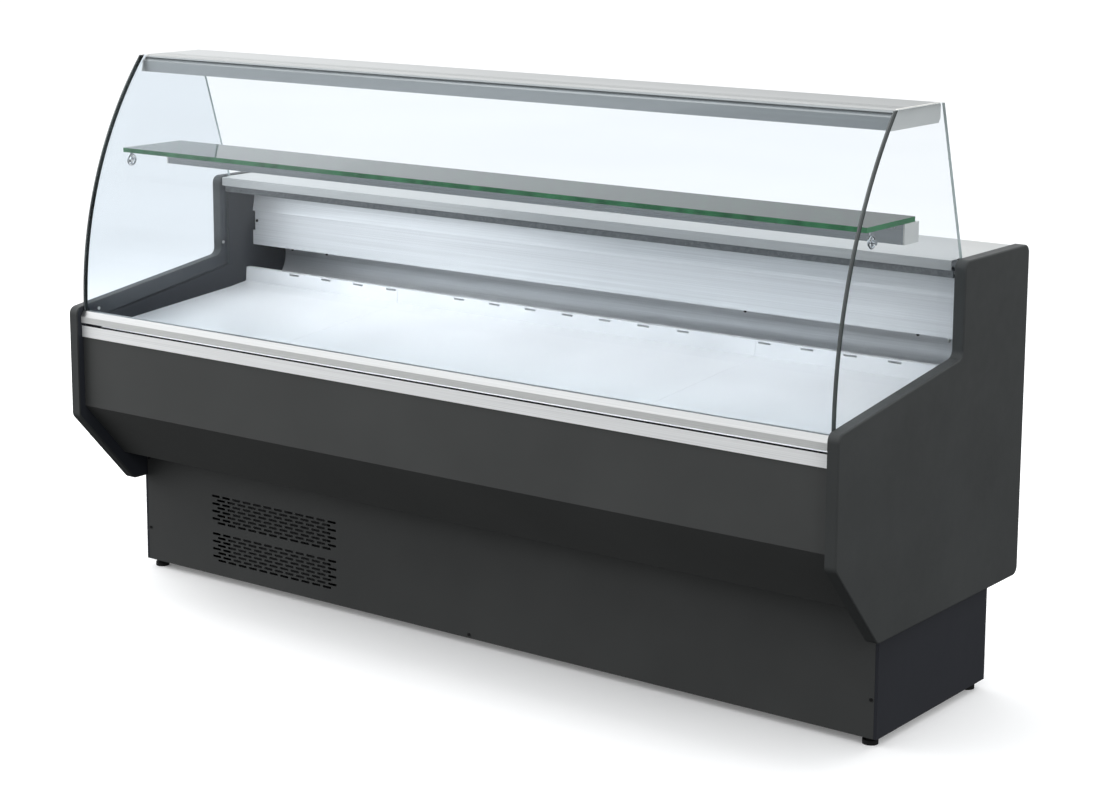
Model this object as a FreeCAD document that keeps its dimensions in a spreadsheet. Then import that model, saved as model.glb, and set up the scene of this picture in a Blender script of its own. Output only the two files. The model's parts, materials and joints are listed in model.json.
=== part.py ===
import FreeCAD, Part
import math
import os
import Sketcher
from FreeCAD import Placement, Rotation, Vector

# Refrigerated serve-over deli case with a tilting curved front glass.
# Row frame: X along the counter, Y from the customer side to the service side, Z up.
# The origin is on the floor, under the middle of the bounding box. All sizes are in mm.

doc = FreeCAD.newDocument("deli_case")
sheet = doc.addObject("Spreadsheet::Sheet", "dims")


# ---------------------------------------------------------------- driving sizes
class Size:
    """A number that remembers the spreadsheet expression it comes from."""

    def __init__(self, value, text):
        self.value = float(value)
        self.text = text

    def _join(self, other, sign, value):
        return Size(value, f"({self.text} {sign} {size(other).text})")

    def __add__(self, other):
        return self._join(other, "+", self.value + size(other).value)

    def __radd__(self, other):
        return size(other) + self

    def __sub__(self, other):
        return self._join(other, "-", self.value - size(other).value)

    def __rsub__(self, other):
        return size(other) - self

    def __mul__(self, other):
        return self._join(other, "*", self.value * size(other).value)

    def __rmul__(self, other):
        return size(other) * self

    def __truediv__(self, other):
        return self._join(other, "/", self.value / size(other).value)

    def __neg__(self):
        return 0 - self

    def root(self):
        return Size(math.sqrt(self.value), f"sqrt({self.text})")


def size(number):
    return number if isinstance(number, Size) else Size(number, f"({float(number):.6g})")


sheet_row = 0


def dim(name, value):
    """Adds one driving size to the spreadsheet."""
    global sheet_row
    sheet_row += 1
    sheet.set(f"A{sheet_row}", name)
    sheet.set(f"B{sheet_row}", str(value))
    sheet.setAlias(f"B{sheet_row}", name)
    return Size(value, f"dims.{name}")


LENGTH = dim("length", 2050)
DEPTH = dim("depth", 750)
TOP = dim("total_height", 1236)
HALF = LENGTH / 2
FRONT = -DEPTH / 2
REAR = DEPTH / 2

# End panels and liners
END_THICK = dim("end_thickness", 25)
SKIN = dim("end_skin", 4)
END_FRONT_TOP = dim("end_front_top", 664)
END_NOSE = dim("end_nose_height", 408)
END_BOTTOM = dim("end_bottom", 226)
END_CHAMFER = dim("end_chamfer_run", 165)
STEP_Y = REAR - dim("upper_body_depth", 276)
STEP_Z = dim("step_height", 730)
LINER = dim("liner_thickness", 8)
IN = HALF - END_THICK                 # inner face of an end panel
CLEAR = IN - LINER                    # inner face of an end liner

# Glass, shelf and canopy
GLASS = dim("front_glass_thickness", 8)
SIDE_GLASS = dim("side_glass_thickness", 6)
GLASS_RADIUS = dim("glass_radius", 917)
GLASS_Y = FRONT + dim("glass_setback", 21.5)
GLASS_TANGENT = dim("glass_tangent_height", 668)
ARC_Y = GLASS_Y + GLASS_RADIUS        # centre line of the curved front glass
GLASS_RISE = TOP - 1.5 - GLASS_TANGENT
GLASS_TOP_Y = ARC_Y - (GLASS_RADIUS * GLASS_RADIUS - GLASS_RISE * GLASS_RISE).root()
SHELF_Z = TOP - dim("shelf_drop", 222)
SHELF_DEPTH = dim("shelf_depth", 185)
SHELF_THICK = dim("shelf_thickness", 10)
INNER_RADIUS = GLASS_RADIUS - GLASS
SHELF_RISE = SHELF_Z + SHELF_THICK - GLASS_TANGENT
SHELF_GLASS_Y = ARC_Y - (INNER_RADIUS * INNER_RADIUS - SHELF_RISE * SHELF_RISE).root()
SHELF_Y = SHELF_GLASS_Y + dim("shelf_glass_gap", 45)    # front edge of the shelf
CANOPY_HIGH = dim("canopy_section_height", 39)

# Insulated body and cladding
WORK_Z = dim("worktop_height", 920)
WORK_THICK = dim("worktop_edge", 20)
RIM = WORK_Z - WORK_THICK - 2         # top of the tub's rear wall
BODY_REAR = REAR - dim("rear_setback", 25)
RAIL_Z = dim("rail_height", 656)
FRONT_RIM = RAIL_Z - dim("front_rim_drop", 53)    # top of the tub's front wall
PANEL_Y = FRONT + dim("front_panel_setback", 19)
PANEL_LOW = dim("front_panel_bottom", 431)
TUB_FLOOR = dim("tub_bottom", 300)
FOAM = dim("foam_thickness", 37)
REAR_FOAM = dim("rear_foam_thickness", 25)
SHEET = dim("sheet_thickness", 1.2)

# Deck and back panel
DECK_FRONT_Z = dim("deck_front_height", 609)
DECK_REAR_Z = dim("deck_rear_height", 654)
DECK_REAR_Y = REAR - dim("deck_rear_setback", 199)
UPSTAND = dim("deck_upstand", 34)
SEAM_X = dim("deck_seam_x", 497)
BACK_Y = REAR - dim("back_panel_setback", 170)
BACK_LOW = dim("back_panel_bottom", 742)

# Plinth, frame and machinery
PLINTH_FRONT = FRONT + dim("plinth_front_setback", 208)
PLINTH_REAR = REAR - dim("plinth_rear_setback", 93)
PLINTH_LOW = dim("plinth_clearance", 18)
PLINTH_OVER = dim("plinth_overhang", 4)
TUBE = dim("frame_tube", 25)
FOOT_R = dim("foot_radius", 16)
FAN_R = dim("evaporator_fan_radius", 62)
COND_FAN_R = dim("condenser_fan_radius", 70)

# Fits between pieces
PIN_R = dim("pivot_pin_radius", 3)
RUN_FIT = dim("running_clearance", 0.05)
GAP = dim("body_gap", 0.3)


# ---------------------------------------------------------------- building helpers
def bind(obj, prop, number):
    obj.setExpression(prop, size(number).text)


def move_to(obj, x, y, z):
    obj.Placement.Base = Vector(size(x).value, size(y).value, size(z).value)
    for axis, number in zip("xyz", (x, y, z)):
        bind(obj, f"Placement.Base.{axis}", number)


def set_sizes(obj, **numbers):
    for prop, number in numbers.items():
        setattr(obj, prop, size(number).value)
        bind(obj, prop, number)


def box(name, x0, x1, y0, y1, z0, z1):
    solid = doc.addObject("Part::Box", name)
    set_sizes(solid, Length=size(x1) - x0, Width=size(y1) - y0, Height=size(z1) - z0)
    move_to(solid, x0, y0, z0)
    return solid


def both(x0, x1, y0, y1, z0, z1, name):
    """A box and its mirror image on the other side of X = 0."""
    right = box(f"{name}_r", x0, x1, y0, y1, z0, z1)
    left = box(f"{name}_l", -size(x1), -size(x0), y0, y1, z0, z1)
    return [right, left]


TURNS = {"X": Rotation(Vector(0, 1, 0), 90), "Y": Rotation(Vector(1, 0, 0), -90), "Z": Rotation()}


def rod(name, axis, start, length, radius):
    solid = doc.addObject("Part::Cylinder", name)
    set_sizes(solid, Radius=radius, Height=length)
    solid.Placement = Placement(Vector(), TURNS[axis])
    move_to(solid, *start)
    return solid


def ball(name, centre, radius):
    solid = doc.addObject("Part::Sphere", name)
    set_sizes(solid, Radius=radius)
    move_to(solid, *centre)
    return solid


def dome(name, centre, rise, radius):
    solid = doc.addObject("Part::Ellipsoid", name)
    set_sizes(solid, Radius1=rise, Radius2=radius)
    solid.Angle1 = -90
    solid.Angle2 = 90
    move_to(solid, *centre)
    return solid


def fuse(name, parts):
    whole = doc.addObject("Part::MultiFuse", name)
    whole.Shapes = parts
    whole.Refine = True
    return whole


def group(name, parts):
    whole = doc.addObject("Part::Compound", name)
    whole.Links = parts
    return whole


def cut(name, base, tools):
    tool = tools[0] if len(tools) == 1 else group(f"{name}_tools", tools)
    whole = doc.addObject("Part::Cut", name)
    whole.Base = base
    whole.Tool = tool
    return whole


def common(name, first, second):
    whole = doc.addObject("Part::Common", name)
    whole.Base = first
    whole.Tool = second
    return whole


PLANES = {"YZ": "YZ_Plane", "XZ": "XZ_Plane", "XY": "XY_Plane"}


def new_sketch(body, name, plane, offset):
    sketch = body.newObject("Sketcher::SketchObject", name)
    support = [item for item in body.Origin.OriginFeatures if item.Role == PLANES[plane]][0]
    sketch.AttachmentSupport = [(support, "")]
    sketch.MapMode = "FlatFace"
    sketch.AttachmentOffset = Placement(Vector(0, 0, size(offset).value), Rotation())
    bind(sketch, "AttachmentOffset.Base.z", offset)
    return sketch


def place_point(sketch, geometry, end, u, v):
    """Ties one point of the sketch to its two coordinates."""
    for kind, number in (("DistanceX", size(u)), ("DistanceY", size(v))):
        index = sketch.addConstraint(Sketcher.Constraint(kind, -1, 1, geometry, end, number.value))
        sketch.setExpression(f"Constraints[{index}]", number.text)


def draw_outline(sketch, points):
    corners = [Vector(size(u).value, size(v).value, 0) for u, v in points]
    count = len(corners)
    for index in range(count):
        sketch.addGeometry(Part.LineSegment(corners[index], corners[(index + 1) % count]), False)
    for index in range(count):
        sketch.addConstraint(Sketcher.Constraint("Coincident", index, 2, (index + 1) % count, 1))
    for index, (u, v) in enumerate(points):
        place_point(sketch, index, 1, u, v)


def prism(name, plane, points, start, length):
    """A padded outline. The pad grows along the sketch plane's normal: +X, -Y or +Z."""
    body = doc.addObject("PartDesign::Body", name)
    sketch = new_sketch(body, f"{name}_outline", plane, start)
    draw_outline(sketch, points)
    pad = body.newObject("PartDesign::Pad", f"{name}_pad")
    pad.Profile = sketch
    set_sizes(pad, Length=length)
    sketch.Visibility = False
    doc.recompute()
    return body


def draw_slot(sketch, u, v, length, radius):
    """An oval slot with its long side along the sketch's first axis."""
    u, v, length, radius = size(u), size(v), size(length), size(radius)
    reach = length / 2 - radius
    left = Vector(u.value - reach.value, v.value, 0)
    right = Vector(u.value + reach.value, v.value, 0)
    rise = Vector(0, radius.value, 0)
    normal = Vector(0, 0, 1)
    quarter = math.pi / 2
    sketch.addGeometry(Part.LineSegment(left + rise, right + rise), False)
    right_circle = Part.Circle(right, normal, radius.value)
    sketch.addGeometry(Part.ArcOfCircle(right_circle, -quarter, quarter), False)
    sketch.addGeometry(Part.LineSegment(right - rise, left - rise), False)
    left_circle = Part.Circle(left, normal, radius.value)
    sketch.addGeometry(Part.ArcOfCircle(left_circle, quarter, 3 * quarter), False)
    for line, line_end, arc, arc_end in ((0, 2, 1, 2), (2, 1, 1, 1), (2, 2, 3, 2), (0, 1, 3, 1)):
        sketch.addConstraint(Sketcher.Constraint("Tangent", line, line_end, arc, arc_end))
    index = sketch.addConstraint(Sketcher.Constraint("Radius", 1, radius.value))
    sketch.setExpression(f"Constraints[{index}]", radius.text)
    place_point(sketch, 1, 3, u + reach, v)
    index = sketch.addConstraint(Sketcher.Constraint("DistanceX", -1, 1, 3, 3, (u - reach).value))
    sketch.setExpression(f"Constraints[{index}]", (u - reach).text)


def slot_field(body, name, plane, offset, slot, depth, runs):
    """Cuts a slot and repeats it along each run: (sketch axis, pitch, count)."""
    sketch = new_sketch(body, f"{name}_slot", plane, offset)
    draw_slot(sketch, *slot)
    pocket = body.newObject("PartDesign::Pocket", f"{name}_pocket")
    pocket.Profile = sketch
    pocket.Midplane = True
    set_sizes(pocket, Length=depth)
    sketch.Visibility = False
    field = body.newObject("PartDesign::MultiTransform", f"{name}_field")
    field.Originals = [pocket]
    patterns = []
    for index, (axis, pitch, count) in enumerate(runs):
        pattern = body.newObject("PartDesign::LinearPattern", f"{name}_run_{index + 1}")
        pattern.Direction = (sketch, [axis])
        pattern.Occurrences = count
        set_sizes(pattern, Length=size(pitch) * (count - 1))
        patterns.append(pattern)
    field.Transformations = patterns
    body.Tip = field
    doc.recompute()


nodes = []


def node(part, name=None):
    """Marks a finished piece: its label is its node and file name."""
    if name:
        part.Label = name
    nodes.append(part)
    return part


def round_edges(body, name, radius, wanted):
    """Fillets the edges of the body's tip that the test picks out."""
    doc.recompute()
    tip = body.Tip
    names = [f"Edge{index}" for index, edge in enumerate(tip.Shape.Edges, 1) if wanted(edge)]
    fillet = body.newObject("PartDesign::Fillet", name)
    fillet.Base = (tip, names)
    set_sizes(fillet, Radius=radius)
    doc.recompute()


def runs_along_x(edge):
    first, last = edge.Vertexes[0].Point, edge.Vertexes[-1].Point
    return abs(first.y - last.y) < 0.01 and abs(first.z - last.z) < 0.01 and abs(first.x - last.x) > 1


# ---------------------------------------------------------------- end panels, cores and liners
def end_outline(inset):
    return [(FRONT + inset, END_FRONT_TOP - inset), (FRONT + inset, END_NOSE + inset / 2),
            (FRONT + END_CHAMFER + inset / 2, END_BOTTOM + inset), (REAR - inset, END_BOTTOM + inset),
            (REAR - inset, WORK_Z + 2 - inset), (STEP_Y + inset, WORK_Z + 2 - inset),
            (STEP_Y + inset, STEP_Z - inset)]


PIVOT_Y = GLASS_Y - 0.5
PIVOT_Z = RAIL_Z - 23

end_cores = []
for side, sign in (("right", 1), ("left", -1)):
    start = IN if sign > 0 else -HALF
    shell = prism(f"moulding_{side}", "YZ", end_outline(size(0)), start, END_THICK)
    round_edges(shell, f"moulding_{side}_corners", 18, runs_along_x)
    outer_x = (HALF * sign).value
    round_edges(shell, f"moulding_{side}_rim", 3.5,
                lambda edge: all(abs(point.Point.x - outer_x) < 0.01 for point in edge.Vertexes))
    hollow_start = IN - 1 if sign > 0 else -HALF + SKIN
    hollow = prism(f"hollow_{side}", "YZ", end_outline(SKIN), hollow_start, END_THICK - SKIN + 1)
    round_edges(hollow, f"hollow_{side}_corners", 14, runs_along_x)
    node(cut(f"end_panel_{side}", shell, [hollow]))
    core_start = IN if sign > 0 else -(HALF - SKIN - 0.2)
    core = prism(f"core_blank_{side}", "YZ", end_outline(SKIN + 0.2), core_start, END_THICK - SKIN - 0.2)
    round_edges(core, f"core_{side}_corners", 13.8, runs_along_x)
    pin_start = IN - 2 if sign > 0 else -(IN + 8)
    pin_hole = rod(f"pivot_hole_{side}", "X", (pin_start, PIVOT_Y, PIVOT_Z), 10, PIN_R + RUN_FIT)
    end_cores.append(cut(f"end_core_{side}", core, [pin_hole]))

    liner_start = CLEAR if sign > 0 else -IN
    liner_outline = [
        (GLASS_Y + 16, RAIL_Z - 27), (GLASS_Y + 16, FRONT_RIM + 1), (PANEL_Y + 6, FRONT_RIM + 1),
        (PANEL_Y + 6, PANEL_LOW + 5), (PANEL_Y + 124, TUB_FLOOR + 2), (BODY_REAR - 2, TUB_FLOOR + 2),
        (BODY_REAR - 2, RIM), (STEP_Y + 23, RIM), (STEP_Y + 23, STEP_Z - 28)]
    node(prism(f"end_liner_{side}", "YZ", liner_outline, liner_start, LINER - 0.1))
node(group("end_cores", end_cores))

# ---------------------------------------------------------------- glazing
def arc_rod(name, x0, x1, radius):
    return rod(name, "X", (x0, ARC_Y, GLASS_TANGENT), size(x1) - x0, radius)


for side, sign in (("right", 1), ("left", -1)):
    start = IN - 6.5 if sign > 0 else -(IN - 0.5)
    pane_outline = [
        (GLASS_Y + 13.5, RAIL_Z - 26.4), (GLASS_Y + 13.5, RAIL_Z + 4), (GLASS_Y - 20, RAIL_Z + 4),
        (GLASS_Y - 20, TOP - 1), (STEP_Y - 63, TOP - 1), (STEP_Y + 31, WORK_Z + 1.5),
        (STEP_Y + 22.4, WORK_Z + 1.5), (STEP_Y + 22.4, STEP_Z - 27.4)]
    pane = prism(f"side_pane_{side}", "YZ", pane_outline, start, SIDE_GLASS)
    bound = arc_rod(f"side_bound_{side}", start, start + SIDE_GLASS, INNER_RADIUS - 0.8)
    node(common(f"side_glass_{side}", pane, bound))

GLASS_HALF = IN - 1.5
sheet_outer = arc_rod("front_arc_outer", -GLASS_HALF, GLASS_HALF, GLASS_RADIUS)
sheet_inner = arc_rod("front_arc_inner", -GLASS_HALF - 1, GLASS_HALF + 1, INNER_RADIUS)
curved = cut("front_arc", sheet_outer, [sheet_inner])
window = box("front_window", -GLASS_HALF, GLASS_HALF, GLASS_Y - 1, -100, GLASS_TANGENT, TOP - 1.5)
upper = common("front_glass_upper", curved, window)
lower = box("front_glass_lower", -GLASS_HALF, GLASS_HALF, GLASS_Y, GLASS_Y + GLASS, RAIL_Z - 14,
            GLASS_TANGENT)
node(fuse("front_glass", [upper, lower]))

holder_outline = [
    (GLASS_Y - 8.5, RAIL_Z - 27.5), (GLASS_Y + GLASS + 3, RAIL_Z - 27.5), (GLASS_Y + GLASS + 3, RAIL_Z),
    (GLASS_Y + GLASS + 0.1, RAIL_Z), (GLASS_Y + GLASS + 0.1, RAIL_Z - 14.1),
    (GLASS_Y - 0.1, RAIL_Z - 14.1), (GLASS_Y - 0.1, RAIL_Z), (GLASS_Y - 1.5, RAIL_Z),
    (GLASS_Y - 8.5, RAIL_Z - 13)]
holder_blank = prism("holder_blank", "YZ", holder_outline, -GLASS_HALF, GLASS_HALF * 2)
pin_bores = [rod("holder_bore_r", "X", (GLASS_HALF - 16, PIVOT_Y, PIVOT_Z), 20, PIN_R),
             rod("holder_bore_l", "X", (-GLASS_HALF - 4, PIVOT_Y, PIVOT_Z), 20, PIN_R)]
node(cut("glass_holder", holder_blank, pin_bores))
node(group("glass_pins", [rod("pin_r", "X", (GLASS_HALF - 15.9, PIVOT_Y, PIVOT_Z), 23, PIN_R),
                          rod("pin_l", "X", (-GLASS_HALF - 7.1, PIVOT_Y, PIVOT_Z), 23, PIN_R)]))

# ---------------------------------------------------------------- insulated tub
TUB_HALF = CLEAR - GAP
SLOPE_Y = PANEL_Y + dim("slope_run", 120)       # where the sloping underside meets the tub bottom
MITRE = 0.55                          # shift of a bend's inner corner for each unit of wall


def tub_wall(name, front, slope, floor, rear, thick, rear_thick, top):
    """A channel open at the top: outer face given, walls of the stated thickness."""
    corner = SLOPE_Y + (front - PANEL_Y)
    points = [(front, FRONT_RIM), (front, slope), (corner, floor), (rear, floor), (rear, top),
              (rear - rear_thick, top), (rear - rear_thick, floor + thick),
              (corner + thick * MITRE, floor + thick), (front + thick, slope + thick * MITRE),
              (front + thick, FRONT_RIM)]
    return prism(name, "YZ", points, -TUB_HALF, TUB_HALF * 2)


SHELL_FRONT = PANEL_Y + 3
shell_blank = tub_wall("shell_blank", SHELL_FRONT, PANEL_LOW + 3, TUB_FLOOR, BODY_REAR, SHEET, SHEET, RIM)
foam_blank = tub_wall("foam_blank", SHELL_FRONT + SHEET, PANEL_LOW + 4, TUB_FLOOR + SHEET,
                      BODY_REAR - SHEET, FOAM, REAR_FOAM, RIM)
SKIN_FRONT = SHELL_FRONT + SHEET + FOAM
skin_blank = tub_wall("skin_blank", SKIN_FRONT, PANEL_LOW + 4 + FOAM * MITRE, TUB_FLOOR + SHEET + FOAM,
                      BODY_REAR - SHEET - REAR_FOAM, SHEET, SHEET, RIM)
WALL_Y = BODY_REAR - SHEET * 2 - REAR_FOAM      # inner face of the tub's rear wall
FLOOR_Z = TUB_FLOOR + SHEET * 2 + FOAM          # inner face of the tub's floor

DRAIN_X = dim("drain_x", 300)
DRAIN_Y = dim("drain_y", 150)
for name, blank in (("tub_shell", shell_blank), ("tub_foam", foam_blank), ("tub_skin", skin_blank)):
    node(cut(name, blank, [rod(f"{name}_drain_hole", "Z", (DRAIN_X, DRAIN_Y, TUB_FLOOR - 5), 60, 17)]))

# ---------------------------------------------------------------- front cladding
RAIL_REAR = SKIN_FRONT + SHEET + 0.6  # the rail's inner leg covers the tub's whole front rim
FACE_HALF = IN - 0.5
rail_angle_outline = [
    (PANEL_Y + 3, FRONT_RIM + 0.2), (PANEL_Y + 3, RAIL_Z - 33.5), (PANEL_Y + 7, RAIL_Z - 33.5),
    (PANEL_Y + 7, FRONT_RIM + 3.2), (RAIL_REAR, FRONT_RIM + 3.2), (RAIL_REAR, FRONT_RIM + 0.2)]
rail_angle = prism("rail_angle", "YZ", rail_angle_outline, -TUB_HALF, TUB_HALF * 2)
rail_face_outline = [
    (PANEL_Y - 3, RAIL_Z - 61), (PANEL_Y - 3, RAIL_Z - 34.5), (PANEL_Y - 1.5, RAIL_Z - 33),
    (PANEL_Y + 3.2, RAIL_Z - 33), (PANEL_Y + 3.2, RAIL_Z - 51), (PANEL_Y - 0.5, RAIL_Z - 52),
    (PANEL_Y - 0.5, RAIL_Z - 61)]
rail_face = prism("rail_face", "YZ", rail_face_outline, -FACE_HALF, FACE_HALF * 2)
node(fuse("trim_rail", [rail_angle, rail_face]))
front_panel_outline = [
    (PANEL_Y, RAIL_Z - 61.3), (PANEL_Y, PANEL_LOW), (SLOPE_Y - 0.8, TUB_FLOOR - 4),
    (SLOPE_Y + 40, TUB_FLOOR - 4), (SLOPE_Y + 40, TUB_FLOOR - 2), (SLOPE_Y + 0.3, TUB_FLOOR - 2),
    (PANEL_Y + 2, PANEL_LOW + 0.8), (PANEL_Y + 2, RAIL_Z - 61.3)]
node(prism("front_panel", "YZ", front_panel_outline, -FACE_HALF, FACE_HALF * 2))

# ---------------------------------------------------------------- plinth
PLINTH_HALF = IN + PLINTH_OVER
PLINTH_TOP = TUB_FLOOR - 8
SLOT_LONG = dim("grille_slot_length", 26)
SLOT_R = dim("grille_slot_radius", 2.75)
SLOT_PITCH = dim("grille_slot_pitch", 33.2)
ROW_PITCH = dim("grille_row_pitch", 9.15)
GRILLE_X = -(IN - 231)
GRILLE_Z = dim("grille_top", 210)

PLINTH_SHEET = dim("plinth_sheet", 1.5)
SIDE_RETURN = dim("plinth_side_return", 7)
PLINTH_EDGE = PLINTH_HALF - SIDE_RETURN - GAP
plinth_front = prism("plinth_front", "XZ",
                     [(-PLINTH_EDGE, PLINTH_LOW), (PLINTH_EDGE, PLINTH_LOW), (PLINTH_EDGE, PLINTH_TOP),
                      (-PLINTH_EDGE, PLINTH_TOP)],
                     -(PLINTH_FRONT + PLINTH_SHEET), PLINTH_SHEET)
block_drop = ROW_PITCH * 10
for shift, count in ((0, 12), (1, 11)):
    first = (GRILLE_X + SLOT_PITCH / 2 * shift,
             GRILLE_Z - ROW_PITCH * (7 + shift) - block_drop + ROW_PITCH)
    slot_field(plinth_front, f"grille_{shift}", "XZ", -PLINTH_FRONT, (*first, SLOT_LONG, SLOT_R), 8,
               [("H_Axis", SLOT_PITCH, count), ("V_Axis", ROW_PITCH * 2, 4), ("V_Axis", block_drop, 2)])
node(plinth_front)

REAR_RETURN = dim("plinth_rear_return", 20)
for side, sign in (("right", 1), ("left", -1)):
    inner_x = PLINTH_HALF - PLINTH_SHEET
    points = [(PLINTH_HALF - SIDE_RETURN, PLINTH_FRONT), (PLINTH_HALF, PLINTH_FRONT),
              (PLINTH_HALF, PLINTH_REAR), (PLINTH_HALF - REAR_RETURN, PLINTH_REAR),
              (PLINTH_HALF - REAR_RETURN, PLINTH_REAR - PLINTH_SHEET), (inner_x, PLINTH_REAR - PLINTH_SHEET),
              (inner_x, PLINTH_FRONT + PLINTH_SHEET),
              (PLINTH_HALF - SIDE_RETURN, PLINTH_FRONT + PLINTH_SHEET)]
    if sign < 0:
        points = [(-x, y) for x, y in reversed(points)]
    node(prism(f"plinth_side_{side}", "XY", points, PLINTH_LOW, END_BOTTOM - 0.5 - PLINTH_LOW))

REAR_EDGE = PLINTH_HALF - REAR_RETURN - GAP
plinth_rear = prism("plinth_rear_sheet", "XZ",
                    [(-REAR_EDGE, PLINTH_LOW), (REAR_EDGE, PLINTH_LOW), (REAR_EDGE, PLINTH_TOP),
                     (-REAR_EDGE, PLINTH_TOP)],
                    -PLINTH_REAR, PLINTH_SHEET)
slot_field(plinth_rear, "rear_grille", "XZ", -PLINTH_REAR, (GRILLE_X, 70, 60, 4), 8,
           [("H_Axis", 75, 6), ("V_Axis", 20, 8)])

# ---------------------------------------------------------------- base frame and feet
FRAME_LOW = PLINTH_LOW + 4
FRAME_HALF = CLEAR - 2
FRAME_FRONT = PLINTH_FRONT + 11
FRAME_REAR = PLINTH_REAR - 12
CROSS_X = dim("cross_bar_x", 235)
FOOT_X = FRAME_HALF - TUBE / 2
FOOT_YS = {"front": FRAME_FRONT + TUBE / 2, "rear": FRAME_REAR - TUBE / 2}
frame_bars = [
    box("bar_front", -FRAME_HALF, FRAME_HALF, FRAME_FRONT, FRAME_FRONT + TUBE, FRAME_LOW,
        FRAME_LOW + TUBE),
    box("bar_rear", -FRAME_HALF, FRAME_HALF, FRAME_REAR - TUBE, FRAME_REAR, FRAME_LOW, FRAME_LOW + TUBE)]
frame_bars += both(FRAME_HALF - TUBE, FRAME_HALF, FRAME_FRONT, FRAME_REAR, FRAME_LOW, FRAME_LOW + TUBE,
                   "bar_side")
frame_bars += both(CROSS_X, CROSS_X + TUBE, FRAME_FRONT, FRAME_REAR, FRAME_LOW, FRAME_LOW + TUBE,
                   "bar_cross")
for row, y0 in (("f", FRAME_FRONT), ("b", FRAME_REAR - TUBE)):
    frame_bars += both(FRAME_HALF - TUBE, FRAME_HALF, y0, y0 + TUBE, FRAME_LOW, TUB_FLOOR - 0.3,
                       f"post_{row}")
    frame_bars += both(CROSS_X, CROSS_X + TUBE, y0, y0 + TUBE, FRAME_LOW, TUB_FLOOR - 0.3, f"mid_{row}")
TRAY_Z = FRAME_LOW + TUBE
frame_bars.append(box("unit_tray", -(FRAME_HALF - 1), -CROSS_X, FRAME_FRONT + 1, FRAME_REAR - 1,
                      TRAY_Z - 0.5, TRAY_Z + 2))
foot_bores = []
for side, sign in (("right", 1), ("left", -1)):
    for row, y in FOOT_YS.items():
        foot_bores.append(rod(f"foot_bore_{row}_{side}", "Z", (FOOT_X * sign, y, FRAME_LOW - 1), 36,
                              5 + RUN_FIT))
        parts = [rod(f"pad_{row}_{side}", "Z", (FOOT_X * sign, y, 0), 9, FOOT_R),
                 rod(f"neck_{row}_{side}", "Z", (FOOT_X * sign, y, 9), 7, 9),
                 rod(f"stem_{row}_{side}", "Z", (FOOT_X * sign, y, 5), 48, 5)]
        node(fuse(f"foot_{row}_{side}", parts))
node(cut("base_frame", fuse("frame_bars", frame_bars), foot_bores))

# ---------------------------------------------------------------- worktop
INNER_HALF = CLEAR - 0.5              # half length of a piece that fits between the end liners
PLATE = dim("worktop_sheet", 1.5)
worktop_parts = [
    box("work_plate", -FACE_HALF, FACE_HALF, STEP_Y + 24, BODY_REAR, WORK_Z - PLATE, WORK_Z),
    box("work_nose", -INNER_HALF, INNER_HALF, STEP_Y + 1, STEP_Y + 25, WORK_Z - PLATE, WORK_Z),
    box("work_fold", -INNER_HALF, INNER_HALF, STEP_Y + 1, STEP_Y + 1 + PLATE, WORK_Z - WORK_THICK, WORK_Z),
    box("work_back", -FACE_HALF, FACE_HALF, BODY_REAR - PLATE, BODY_REAR, WORK_Z - WORK_THICK, WORK_Z)]
node(fuse("worktop", worktop_parts))
node(prism("worktop_rail", "YZ",
           [(STEP_Y + 11, RIM - 14), (STEP_Y + 40, RIM - 14), (STEP_Y + 40, RIM - 12),
            (STEP_Y + 13, RIM - 12), (STEP_Y + 13, RIM), (STEP_Y + 40, RIM), (STEP_Y + 40, RIM + 2),
            (STEP_Y + 11, RIM + 2)],
           -INNER_HALF, INNER_HALF * 2))

# ---------------------------------------------------------------- back panel and air guide
BACK_BEND = BACK_LOW + dim("back_panel_flat", 85)
BACK_TOP = BACK_BEND + dim("back_panel_fold", 37)
back_outline = [
    (BACK_Y, BACK_LOW), (BACK_Y, BACK_BEND), (BACK_Y + 7, BACK_TOP), (BACK_Y + 27, BACK_TOP),
    (BACK_Y + 27, BACK_TOP - 1.5), (BACK_Y + 8.3, BACK_TOP - 1.5), (BACK_Y + 1.5, BACK_BEND - 0.2),
    (BACK_Y + 1.5, BACK_LOW + 1.5), (BACK_Y + 16, BACK_LOW + 1.5), (BACK_Y + 16, BACK_LOW)]
back_panel = prism("back_panel_sheet", "YZ", back_outline, -INNER_HALF, INNER_HALF * 2)
notches = both(CLEAR - 8, CLEAR + 2, BACK_Y - 2, BACK_Y + 6, BACK_LOW + 36, BACK_LOW + 84, "notch")
back_parts = [cut("back_notched", back_panel, notches)]
ARM_PITCH = dim("back_arm_pitch", 600)
for index in range(3):
    x = ARM_PITCH * (index - 1)
    arm = box(f"arm_{index}", x - 15, x + 15, BACK_Y + 1.5, WALL_Y, BACK_LOW + 60, BACK_LOW + 62)
    tab = box(f"arm_tab_{index}", x - 15, x + 15, WALL_Y - 2, WALL_Y, BACK_LOW + 60, BACK_LOW + 85)
    lip = box(f"arm_lip_{index}", x - 15, x + 15, BACK_Y + 1.5, BACK_Y + 3.5, BACK_LOW + 40,
              BACK_LOW + 62)
    back_parts += [arm, tab, lip]
node(fuse("back_panel", back_parts))

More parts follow.
